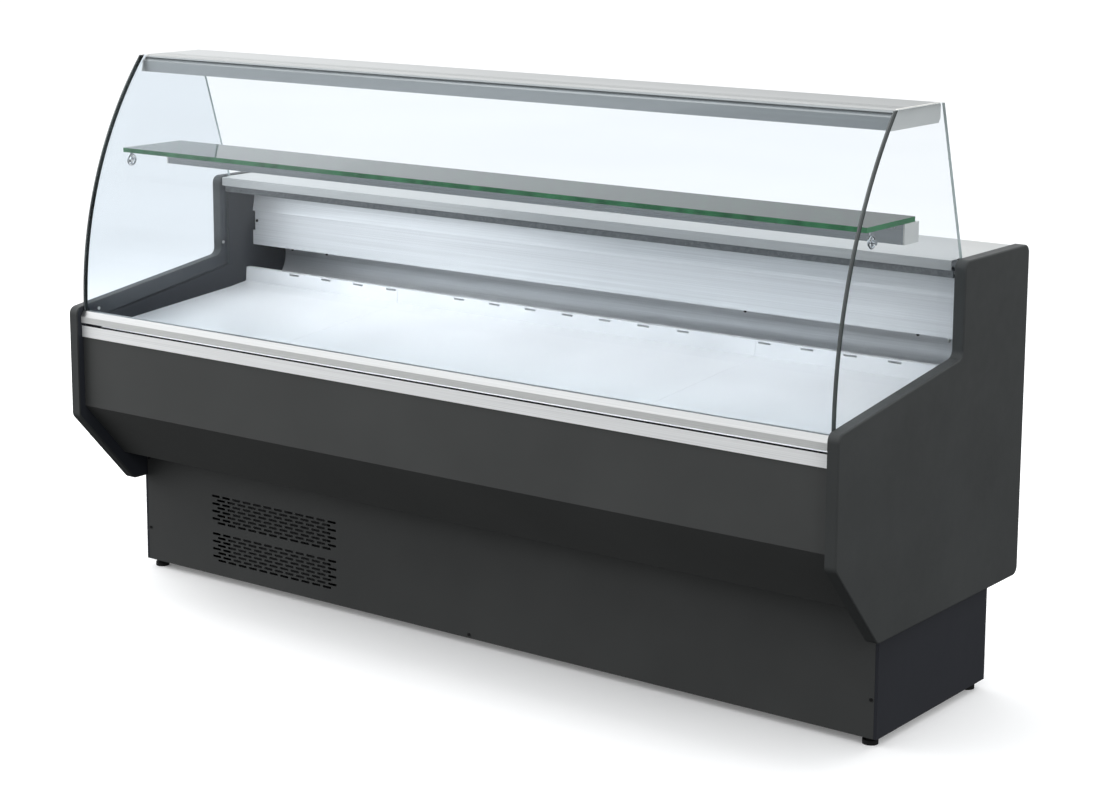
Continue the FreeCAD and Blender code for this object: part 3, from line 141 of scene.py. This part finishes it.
def principled(tree, colour_source, rough_source, normal, metallic=0.0, specular=0.5, coat=0.0):
    """The general shader with colour, roughness and normal from other nodes."""
    shader = tree.add("ShaderNodeBsdfPrincipled", Metallic=metallic, Specular_IOR_Level=specular,
                      Coat_Weight=coat, Coat_Roughness=COAT_ROUGHNESS)
    tree.link(colour_source, shader.inputs["Base Color"])
    tree.link(rough_source, shader.inputs["Roughness"])
    tree.link(normal, shader.inputs["Normal"])
    return shader


# ---------------------------------------------------------------- materials
PEEL_DEPTH = 0.0006                   # depth of orange peel in a powder coat
GRAIN_DEPTH = 0.0004                  # depth of moulded grain, brushed lines and spangle
GROUND_DEPTH = 0.0003                 # depth of the marks on a ground glass edge
PAINT_SHADES = (0.93, 1.07)           # darkest and lightest shade of a powder coat
PAINT_SPAN = 0.04                     # how far its roughness goes up and down
MOULDED_SHADES = (0.92, 1.08)         # the same for moulded plastic
MOULDED_SPAN = 0.05
BRUSHED_SHADES = (0.9, 1.06)          # and for brushed metal
GLASS_IOR = 1.45
SPANGLE_SCALE = 160                   # zinc crystals in a metre
# Both spangle greys are dark: painted shade of the band under the worktop.
SHADED_SPANGLE_DARK = (0.2, 0.21, 0.215)
SHADED_SPANGLE_LIGHT = (0.24, 0.25, 0.255)
DIFFUSER_SHARES = (0.85, 1.1)         # weakest and strongest part of a diffuser's light
BRUSH_FINE = 900                      # squeeze of the noise across the brushed lines
BRUSH_LONG = 2                        # and along them
BROAD_SHARE = 60                      # how much wider the broad smears are than the lines
BRUSH_ANISOTROPY = 0.4
PANE_SMEAR = 0.03                     # roughness of the smears on clear glass
GROUND_ROUGH = 0.12                   # roughness of a ground glass edge


def painted(name, colour, rough, peel=0.06, specular=0.2):
    """Powder coat: a slightly cloudy colour with orange peel."""
    tree = Tree(name)
    cloud = tree.noise(scale=3.5, detail=4)
    fine = tree.noise(scale=700, detail=2)
    colour_source = tree.cloudy(cloud, colour, PAINT_SHADES)
    rough_source = tree.spread(tree.noise(scale=14, detail=3), rough - PAINT_SPAN, rough + PAINT_SPAN)
    normal = tree.bump(fine, peel, PEEL_DEPTH)
    shader = principled(tree, colour_source, rough_source, normal, specular=specular)
    return tree.surface(shader.outputs["BSDF"])


def moulded(name, colour, rough, grain=0.12, grain_scale=900, specular=0.18):
    """Moulded plastic with a fine leather grain."""
    tree = Tree(name)
    cells = tree.cells(grain_scale, feature="SMOOTH_F1")
    colour_source = tree.cloudy(tree.noise(scale=5, detail=5), colour, MOULDED_SHADES)
    rough_source = tree.spread(tree.noise(scale=30, detail=4), rough - MOULDED_SPAN, rough + MOULDED_SPAN)
    normal = tree.bump(cells.outputs["Distance"], grain, GRAIN_DEPTH)
    shader = principled(tree, colour_source, rough_source, normal, specular=specular)
    return tree.surface(shader.outputs["BSDF"])


def brushed(name, colour, rough, line=0.12, along="X", smear=0.1, metallic=1.0):
    """Metal brushed along one axis."""
    tree = Tree(name)
    stretch = tuple(BRUSH_LONG if axis == along else BRUSH_FINE for axis in "XYZ")
    lines = tree.noise(stretch=stretch, scale=1.0, detail=2)
    broad = tree.noise(stretch=tuple(max(1.0, value / BROAD_SHARE) for value in stretch), scale=1.0, detail=3)
    colour_source = tree.cloudy(lines, colour, BRUSHED_SHADES)
    rough_source = tree.spread(broad, rough - smear / 2, rough + smear / 2)
    normal = tree.bump(lines, line, GRAIN_DEPTH)
    shader = principled(tree, colour_source, rough_source, normal, metallic)
    shader.inputs["Anisotropic"].default_value = BRUSH_ANISOTROPY
    return tree.surface(shader.outputs["BSDF"])


def galvanised(name):
    """Zinc spangle: flat crystals of slightly different greys, both kept dark as painted shade."""
    tree = Tree(name)
    crystals = tree.cells(SPANGLE_SCALE)
    level = tree.add("ShaderNodeSeparateColor")
    tree.link(crystals.outputs["Color"], level.inputs["Color"])
    colour_source = tree.shade(level.outputs["Red"], SHADED_SPANGLE_DARK, SHADED_SPANGLE_LIGHT)
    rough_source = tree.spread(level.outputs["Green"], 0.35, 0.5)
    normal = tree.bump(tree.noise(scale=300), 0.05, GRAIN_DEPTH)
    shader = principled(tree, colour_source, rough_source, normal, metallic=0.85)
    return tree.surface(shader.outputs["BSDF"])


def clear_glass(name, tint, shine):
    """A pane that lets light and shadow rays through, with a Fresnel reflection and faint smears."""
    tree = Tree(name)
    through = tree.add("ShaderNodeBsdfTransparent", Color=(*tint, 1))
    mirror = tree.add("ShaderNodeBsdfGlossy", Color=(1, 1, 1, 1))
    smears = tree.spread(tree.noise(stretch=(3, 3, 9), scale=2, detail=5), 0.0, PANE_SMEAR)
    tree.link(smears, mirror.inputs["Roughness"])
    fresnel = tree.add("ShaderNodeFresnel", IOR=GLASS_IOR)
    share = tree.add("ShaderNodeMath", operation="MULTIPLY")
    share.inputs[1].default_value = shine
    tree.link(fresnel.outputs["Fac"], share.inputs[0])
    mix = tree.add("ShaderNodeMixShader")
    tree.link(share.outputs["Value"], mix.inputs["Fac"])
    tree.link(through.outputs["BSDF"], mix.inputs[1])
    tree.link(mirror.outputs["BSDF"], mix.inputs[2])
    return tree.surface(mix.outputs["Shader"])


def glass_edge(name, dark, light):
    """The ground edge of a pane, seen as coloured depth."""
    tree = Tree(name)
    colour_source = tree.shade(tree.noise(stretch=(30, 6, 6), scale=1, detail=4), dark, light)
    rough_source = tree.spread(tree.noise(scale=60), GROUND_ROUGH, GROUND_ROUGH + 0.15)
    normal = tree.bump(tree.noise(scale=500), 0.05, GROUND_DEPTH)
    shader = principled(tree, colour_source, rough_source, normal, specular=0.8, coat=0.5)
    return tree.surface(shader.outputs["BSDF"])


def glowing(name, colour, strength):
    """An opal LED diffuser with faint dots along it."""
    tree = Tree(name)
    dots = tree.noise(stretch=(60, 1, 1), scale=1, detail=0)
    lit = tree.add("ShaderNodeEmission", Color=(*colour, 1))
    weakest, strongest = DIFFUSER_SHARES
    tree.link(tree.spread(dots, strength * weakest, strength * strongest), lit.inputs["Strength"])
    return tree.surface(lit.outputs["Emission"])


PAINTS = {
    "charcoal_abs": moulded("charcoal_abs", (0.046, 0.049, 0.049), 0.5),
    "charcoal_liner": moulded("charcoal_liner", (0.027, 0.03, 0.036), 0.5, specular=0.08),
    "charcoal_steel": painted("charcoal_steel", (0.062, 0.064, 0.063), 0.45),
    # The plinth's charcoal is a darker copy of charcoal_steel: painted shade under the case's overhang.
    "plinth_painted_shade": painted("plinth_painted_shade", (0.046, 0.0475, 0.047), 0.45),
    "blue_black_steel": painted("blue_black_steel", (0.022, 0.0235, 0.029), 0.45),
    "galvanised": galvanised("galvanised"),
    "stainless": brushed("stainless", (0.56, 0.57, 0.565), 0.36, smear=0.03, metallic=0.65),
    "canopy_steel": brushed("canopy_steel", (0.43, 0.44, 0.435), 0.3, smear=0.04, metallic=0.75),
    "white_steel": painted("white_steel", (0.85, 0.86, 0.87), 0.34, peel=0.01, specular=0.5),
    "aluminium": brushed("aluminium", (0.74, 0.76, 0.76), 0.28, line=0.06),
    "dark_board": painted("dark_board", (0.028, 0.031, 0.038), 0.5),
    # The condenser fins are near-black: painted shade of the space behind the grille, so its slots read dark.
    "black_fins": brushed("black_fins", (0.012, 0.012, 0.013), 0.5, line=0.8, along="Z", metallic=0.0),
    "matt_aluminium": brushed("matt_aluminium", (0.93, 0.94, 0.94), 0.5, line=0.04, metallic=0.2),
    "interior_steel": brushed("interior_steel", (0.9, 0.91, 0.92), 0.35, line=0.02, metallic=0.4),
    "foam": painted("foam", (0.75, 0.66, 0.42), 0.9, peel=0.5),
    "cap_plastic": moulded("cap_plastic", (0.72, 0.71, 0.68), 0.45, grain=0.06),
    "chrome": brushed("chrome", (0.85, 0.86, 0.87), 0.07, line=0.01, smear=0.04),
    "black_rubber": moulded("black_rubber", (0.012, 0.012, 0.012), 0.65, grain=0.2, grain_scale=500),
    "black_paint": painted("black_paint", (0.015, 0.015, 0.016), 0.32),
    "copper": brushed("copper", (0.72, 0.36, 0.22), 0.3, smear=0.2),
    "coil_fins": brushed("coil_fins", (0.6, 0.61, 0.62), 0.42, line=0.8, along="Z"),
    "fan_plastic": moulded("fan_plastic", (0.02, 0.02, 0.022), 0.4, grain=0.05),
    "light_diffuser": glowing("light_diffuser", (0.99, 0.99, 1.0), 8.8),
    "drain_plastic": moulded("drain_plastic", (0.5, 0.5, 0.5), 0.45),
    "grey_plastic": moulded("grey_plastic", (0.2, 0.205, 0.21), 0.45),
    "button_plastic": moulded("button_plastic", (0.05, 0.052, 0.055), 0.4, grain=0.06),
    "rocker_plastic": moulded("rocker_plastic", (0.03, 0.3, 0.07), 0.25, grain=0.02),
    "zinc": brushed("zinc", (0.6, 0.6, 0.58), 0.3, line=0.03),
    "clear_glass": clear_glass("clear_glass", (0.905, 0.925, 0.942), 0.05),
    "shelf_glass": clear_glass("shelf_glass", (0.5, 0.53, 0.52), 1.0),
}
SIDE_PANE = clear_glass("side_pane", (0.925, 0.942, 0.955), 0.05)
EDGE_DARK = glass_edge("pane_edge", (0.02, 0.024, 0.024), (0.07, 0.085, 0.085))
# The pale edge finish is a painted highlight on the free rear edge of each side pane.
EDGE_HIGHLIGHT = glass_edge("pane_edge_painted_highlight", (0.3, 0.36, 0.35), (0.62, 0.68, 0.67))
EDGE_GREEN = glass_edge("shelf_edge", (0.02, 0.12, 0.045), (0.05, 0.26, 0.1))
BLACK_SCREW = painted("black_screw", (0.01, 0.01, 0.01), 0.35)
HOLDER_FACE = brushed("holder_face", (0.77, 0.78, 0.77), 0.4, line=0.04, metallic=0.45)
HOLDER_BEVEL = brushed("holder_bevel", (0.64, 0.645, 0.64), 0.3, line=0.04, smear=0.04)
# Dark finish for the rail's top lip: painted shadow of the gap between the glass holder and the rail.
GAP_SHADOW = moulded("painted_gap_shadow", (0.01, 0.01, 0.011), 0.6, specular=0.05)
DISPLAY_RED = glowing("display_red", (1.0, 0.12, 0.04), 2.5)

PLINTH_SHADE_CANOPY_FINISH = {"plinth_front": "plinth_painted_shade", "canopy": "canopy_steel"}     # darker copies of their slots: the plinth's is painted shade under the overhang, the canopy's a darker steel
for node, node_paint in node_slot.items():
    worn = nodes[node].data.materials
    worn.clear()
    worn.append(PAINTS[PLINTH_SHADE_CANOPY_FINISH.get(node, node_paint)])


# ---------------------------------------------------------------- mesh helpers
def place(name, mesh, materials, body):
    """Turns a mesh into an object that rides on a body."""
    piece = bpy.data.objects.new(name, mesh)
    scene.collection.objects.link(piece)
    for material in materials:
        mesh.materials.append(material)
    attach(piece, body)
    return piece


def from_shell(name, shell, recalculate=True):
    """A mesh from a bmesh, which is used up."""
    mesh = bpy.data.meshes.new(name)
    if recalculate:
        bmesh.ops.recalc_face_normals(shell, faces=shell.faces)
    shell.to_mesh(mesh)
    shell.free()
    return mesh


def extruded(name, outline, stations, edge_faces):
    """A closed (y, z) outline swept along X. The ends, end spans and listed sides take material 1."""
    shell = bmesh.new()
    count = len(outline)
    spans = len(stations) - 1
    rows = [[shell.verts.new((x, y, z)) for y, z in outline] for x in stations]
    for span in range(spans):
        here, after = rows[span], rows[span + 1]
        for i in range(count):
            j = (i + 1) % count
            face = shell.faces.new((here[i], here[j], after[j], after[i]))
            face.material_index = 1 if i in edge_faces or span in (0, spans - 1) else 0
    for end in (rows[0][::-1], rows[-1]):
        shell.faces.new(end).material_index = 1
    return from_shell(name, shell)


def smooth(piece, angle):
    """Shades a piece smooth except across edges sharper than the angle."""
    for polygon in piece.data.polygons:
        polygon.use_smooth = True
    piece.data.set_sharp_from_angle(angle=math.radians(angle))


# ---------------------------------------------------------------- front glass
GLASS = 0.008                         # thickness of the front glass
RADIUS = 0.917                        # of its outer face
TANGENT_Z = 0.668                     # the pane is straight below this height
EDGE_BAND = 0.003                     # depth of the dark ground border along each end
ARC_STEPS = 72
glass_low, glass_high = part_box("front_glass")
centre_y = glass_low.y + RADIUS


def arc_point(radius, z):
    """The (y, z) point of the front arc at a height."""
    return centre_y - math.sqrt(radius ** 2 - (z - TANGENT_Z) ** 2), z


heights = [TANGENT_Z + (glass_high.z - TANGENT_Z) * index / ARC_STEPS for index in range(ARC_STEPS + 1)]
outer = [(glass_low.y, glass_low.z)] + [arc_point(RADIUS, z) for z in heights]
inner = [(glass_low.y + GLASS, glass_low.z)] + [arc_point(RADIUS - GLASS, z) for z in heights]
outline = outer + inner[::-1]
top_face = len(outer) - 1
foot_face = len(outline) - 1
stations = (glass_low.x, glass_low.x + EDGE_BAND, glass_high.x - EDGE_BAND, glass_high.x)
pane_mesh = extruded("front_pane", outline, stations, (top_face, foot_face))
pane = place("front_pane", pane_mesh, [PAINTS["clear_glass"], EDGE_DARK], "front_glazing")
smooth(pane, angle=20)
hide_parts("front_glass")


# ---------------------------------------------------------------- pieces with more than one finish
FLAT = 0.9                            # a broad face's normal has more than this along the pane's thickness
FORWARD = -0.3                        # a pane's front edge has a normal with less than this along Y
PANE_SEAT_TOP = 0.93                  # below this the edge of a side pane stands against its end liner
PANE_SCREW_Z = 0.5                    # the side panes' screws lie above this
PANE_SCREW_X = 0.985                  # and further out than this
HOLDER_FORWARD = -0.95                # the same for the holder's front face
BEVEL_FORWARD = -0.5                  # and for the bevel above it
BEVEL_UP = 0.3                        # which also looks up by more than this
LIP_UP = 0.5                          # the rail's upper lip looks up by more than this
RAIL_LIP_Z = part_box("trim_rail")[1].z - 0.0025     # and lies above this


def recoloured(node, body, finishes, choose):
    """A copy of a CAD node whose faces take one of several finishes."""
    mesh = nodes[node].data.copy()
    mesh.materials.clear()
    piece = place(f"{node}_finished", mesh, finishes, body)
    for polygon in mesh.polygons:
        polygon.material_index = choose(polygon)
    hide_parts(node)


def pane_face(polygon):
    """0 for a side pane's broad faces, 1 for its front and seated edges, 2 for its free rear edge, which
    takes a painted highlight.
    """
    if abs(polygon.normal.x) > FLAT:
        return 0
    return 1 if polygon.normal.y < FORWARD or polygon.center.z < PANE_SEAT_TOP else 2


def shelf_face(polygon):
    """0 for the shelf's broad faces, 1 for its edges."""
    return 0 if abs(polygon.normal.z) > FLAT else 1


def on_side_pane(polygon):
    """1 for the screws that hold the side panes, 0 for the others."""
    return 1 if polygon.center.z > PANE_SCREW_Z and abs(polygon.center.x) > PANE_SCREW_X else 0


def holder_face(polygon):
    """1 for the holder's front face, 2 for the bevel above it, 0 for the rest."""
    if polygon.normal.y < HOLDER_FORWARD:
        return 1
    return 2 if polygon.normal.y < BEVEL_FORWARD and polygon.normal.z > BEVEL_UP else 0


def on_rail_lip(polygon):
    """1 for the top of the rail, dark as painted shadow of the gap below the glass holder, 0 for the rest."""
    return 1 if polygon.normal.z > LIP_UP and polygon.center.z > RAIL_LIP_Z else 0


recoloured("glass_holder", "front_glazing", [PAINTS["aluminium"], HOLDER_FACE, HOLDER_BEVEL], holder_face)
recoloured("trim_rail", "cabinet", [PAINTS["matt_aluminium"], GAP_SHADOW], on_rail_lip)
for side in ("left", "right"):
    recoloured(f"side_glass_{side}", "cabinet", [SIDE_PANE, EDGE_DARK, EDGE_HIGHLIGHT], pane_face)
recoloured("shelf_glass", "shelf", [PAINTS["shelf_glass"], EDGE_GREEN], shelf_face)
recoloured("screws", "cabinet", [BLACK_SCREW, PAINTS["zinc"]], on_side_pane)


# ---------------------------------------------------------------- shelf clamps: a ring round a boss
RING_RADIUS = 0.0115
RING_SECTION = 0.0024
RING_DROP = 0.02                      # from a clamp's top to the ring's centre
BOSS_RADIUS = 0.0055
BOSS_PAST = 0.002                     # how far the boss stands past the ring's plane, inwards
BAR_RADIUS = 0.0018                   # bar across the ring
NECK_RADIUS = 0.004
POST_INSET = 0.0099                   # from the outer end of a clamp to the ring's plane


def add_ring(shell, centre, radius, section, steps=48, sides=16):
    """A torus about the X direction."""
    rows = []
    for step in range(steps):
        around = 2 * math.pi * step / steps
        row = []
        for side in range(sides):
            across = 2 * math.pi * side / sides
            reach = radius + section * math.cos(across)
            offset = Vector((section * math.sin(across), reach * math.cos(around), reach * math.sin(around)))
            row.append(shell.verts.new(centre + offset))
        rows.append(row)
    for step in range(steps):
        here, after = rows[step], rows[(step + 1) % steps]
        for side in range(sides):
            beside = (side + 1) % sides
            shell.faces.new((here[side], after[side], after[beside], here[beside]))


def add_rod(shell, centre, radius, length, turn=Matrix()):
    """A round bar that stands on Z unless it is turned."""
    bmesh.ops.create_cone(shell, cap_ends=True, segments=40, radius1=radius, radius2=radius, depth=length,
                          matrix=Matrix.Translation(centre) @ turn)


clamp_low, clamp_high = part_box("shelf_brackets")
middle_y = (clamp_low.y + clamp_high.y) / 2
ring_z = clamp_high.z - RING_DROP
neck = clamp_high.z - (ring_z + RING_RADIUS)
boss_length = POST_INSET + BOSS_PAST
lying = Matrix.Rotation(math.pi / 2, 4, "Y")
clamp_shell = bmesh.new()
for sign in (1, -1):
    post_x = sign * (clamp_high.x - POST_INSET)
    boss_x = sign * (clamp_high.x - boss_length / 2)
    ring_centre = Vector((post_x, middle_y, ring_z))
    add_ring(clamp_shell, ring_centre, RING_RADIUS, RING_SECTION)
    add_rod(clamp_shell, Vector((boss_x, middle_y, ring_z)), BOSS_RADIUS, boss_length, lying)
    add_rod(clamp_shell, ring_centre, BAR_RADIUS, RING_RADIUS * 2)
    add_rod(clamp_shell, Vector((post_x, middle_y, clamp_high.z - neck / 2)), NECK_RADIUS, neck)
clamp_mesh = from_shell("shelf_clamps", clamp_shell)
clamps = place("shelf_clamps", clamp_mesh, [PAINTS["chrome"]], "cabinet")
smooth(clamps, angle=40)
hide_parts("shelf_brackets")


# ---------------------------------------------------------------- display digits
# Each segment: its place across and up in half digits, and whether it lies level.
SEGMENTS = {"a": (0, 1, True), "b": (1, 0.5, False), "c": (1, -0.5, False), "d": (0, -1, True),
            "e": (-1, -0.5, False), "f": (-1, 0.5, False), "g": (0, 0, True)}
LIT = {"0": "abcdef", "4": "bcfg"}
READING = "04"
DIGIT_HIGH = 0.0052                   # half height of a digit
DIGIT_WIDE = 0.0028                   # half width of a digit
DIGIT_PITCH = 3.4                     # from one digit to the next, in half widths
DIGIT_DEEP = 0.0003
STROKE = 0.0009
SCREEN_INSET = 0.0218                 # from the thermostat's end to the middle of its screen
SCREEN_DEPTH = 0.0005                 # from the thermostat's face to the digits

thermostat_low, thermostat_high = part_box("thermostat")
screen_x = thermostat_low.x + SCREEN_INSET
screen_y = thermostat_high.y - SCREEN_DEPTH
screen_z = (thermostat_low.z + thermostat_high.z) / 2
digit_shell = bmesh.new()
for index, digit in enumerate(READING):
    centre_x = screen_x + (0.5 - index) * DIGIT_WIDE * DIGIT_PITCH
    for segment in LIT[digit]:
        across, up, level = SEGMENTS[segment]
        long_side = (DIGIT_WIDE if level else DIGIT_HIGH / 2) * 2 - STROKE
        sides = (long_side, DIGIT_DEEP, STROKE) if level else (STROKE, DIGIT_DEEP, long_side)
        spot = Vector((centre_x - across * DIGIT_WIDE, screen_y, screen_z + up * DIGIT_HIGH))
        bmesh.ops.create_cube(digit_shell, size=1, matrix=Matrix.LocRotScale(spot, None, Vector(sides)))
digit_mesh = from_shell("display_digits", digit_shell, recalculate=False)
place("display_digits", digit_mesh, [DISPLAY_RED], "cabinet")


# ---------------------------------------------------------------- stage
FLOOR_HALF = 40
FLOOR_GLOW = 0.12                     # keeps the floor's far part as pale as the background

floor_mesh = bpy.data.meshes.new("floor")
floor_corners = [(-FLOOR_HALF, -FLOOR_HALF, 0), (FLOOR_HALF, -FLOOR_HALF, 0), (FLOOR_HALF, FLOOR_HALF, 0),
                 (-FLOOR_HALF, FLOOR_HALF, 0)]
floor_mesh.from_pydata(floor_corners, [], [(0, 1, 2, 3)])
floor = bpy.data.objects.new("floor", floor_mesh)
scene.collection.objects.link(floor)
floor_tree = Tree("floor_paint")
floor_colour = floor_tree.shade(floor_tree.noise(scale=0.8, detail=4), (0.9, 0.9, 0.9), (0.93, 0.93, 0.93))
floor_rough = floor_tree.spread(floor_tree.noise(scale=6), 0.75, 0.9)
floor_shader = floor_tree.add("ShaderNodeBsdfPrincipled", Specular_IOR_Level=0.1, Emission_Color=(1, 1, 1, 1),
                              Emission_Strength=FLOOR_GLOW)
floor_tree.link(floor_colour, floor_shader.inputs["Base Color"])
floor_tree.link(floor_rough, floor_shader.inputs["Roughness"])
floor_mesh.materials.append(floor_tree.surface(floor_shader.outputs["BSDF"]))
floor.visible_diffuse = False
floor.visible_glossy = False


# ---------------------------------------------------------------- sky
# It is paler upwards, with a soft glow at the left.
HORIZON_HALF = 0.6                    # the sky brightens over this rise on each side of the horizon
SKY_DARK = 0.05
SKY_BRIGHT = 0.9
SKY_COLOUR = (0.97, 0.985, 1.0, 1)
GLOW_DIRECTION = (-0.88, 0.05, 0.47)
GLOW_START = 0.45                     # likeness to the glow's direction at which the glow begins

world = bpy.data.worlds.new("studio")
scene.world = world
world.use_nodes = True
sky = world.node_tree


def ramp(source, from_low, from_high, to_low, to_high):
    """A soft ramp in the sky's brightness."""
    made = sky.nodes.new("ShaderNodeMapRange")
    made.interpolation_type = "SMOOTHSTEP"
    limits = {"From Min": from_low, "From Max": from_high, "To Min": to_low, "To Max": to_high}
    for socket, value in limits.items():
        made.inputs[socket].default_value = value
    sky.links.new(source, made.inputs["Value"])
    return made.outputs["Result"]


direction = sky.nodes.new("ShaderNodeTexCoord").outputs["Generated"]
split = sky.nodes.new("ShaderNodeSeparateXYZ")
sky.links.new(direction, split.inputs["Vector"])
toward_glow = sky.nodes.new("ShaderNodeVectorMath")
toward_glow.operation = "DOT_PRODUCT"
toward_glow.inputs[1].default_value = GLOW_DIRECTION
sky.links.new(direction, toward_glow.inputs[0])
total = sky.nodes.new("ShaderNodeMath")
sky.links.new(ramp(split.outputs["Z"], -HORIZON_HALF, HORIZON_HALF, SKY_DARK, SKY_BRIGHT), total.inputs[0])
sky.links.new(ramp(toward_glow.outputs["Value"], GLOW_START, 1.0, 0.0, 1.0), total.inputs[1])
background = sky.nodes["Background"]
background.inputs["Color"].default_value = SKY_COLOUR
sky.links.new(total.outputs["Value"], background.inputs["Strength"])


# ---------------------------------------------------------------- lamps, which no reflection shows
# Each lamp: name, place, what it faces, power in watts, width, height.
LAMPS = (
    ("left_box", (-3.8, -0.6, 1.9), (0, -0.2, 0.9), 95, 5.0, 2.2),
    ("top", (0, 0.1, 3.6), (0, 0, 0.6), 40, 3.2, 1.4),
    ("left_low_box", (-3.8, -3.2, 0.85), (0, -0.2, 0.7), 50, 4.0, 1.6),
    ("right_fill", (4.6, -1.2, 2.0), (0.9, 0, 0.8), 60, 3.0, 2.0),
    ("case_glow", (-0.55, -0.1, 0.93), (-0.55, 0.2, 0.89), 0.8, 0.8, 0.06),
    ("rear", (1.6, 3.6, 2.8), (0, 0, 0.8), 30, 2.4, 1.6),
)
for name, location, target, power, width, height in LAMPS:
    light = bpy.data.lights.new(name, "AREA")
    light.shape = "RECTANGLE"
    light.size = width
    light.size_y = height
    light.energy = power
    holder = bpy.data.objects.new(name, light)
    holder.location = location
    holder.visible_glossy = False
    holder.rotation_euler = (Vector(target) - Vector(location)).to_track_quat("-Z", "Y").to_euler()
    scene.collection.objects.link(holder)


# ---------------------------------------------------------------- camera
SENSOR = 36
FOCAL_PER_WIDTH = 2422.67 / 1100      # focal length as a share of the frame's width
CAMERA_SHIFT = (0.0148, -0.1005)
CAMERA_PLACE = (3.1721, -4.1046, 1.7023)
LOOK_DOWN = 10.2372                   # degrees below the level
ROLL = -0.15
HEADING = 37.3534                     # degrees from straight ahead, to the left
VIEW_END = 100

camera_data = bpy.data.cameras.new("camera")
camera_data.sensor_width = SENSOR
camera_data.lens = FOCAL_PER_WIDTH * SENSOR
camera_data.shift_x, camera_data.shift_y = CAMERA_SHIFT
camera_data.clip_end = VIEW_END
camera = bpy.data.objects.new("camera", camera_data)
camera.location = CAMERA_PLACE
camera.rotation_euler = [math.radians(angle) for angle in (90 - LOOK_DOWN, ROLL, HEADING)]
scene.collection.objects.link(camera)
scene.camera = camera
scene.view_settings.view_transform = "Standard"
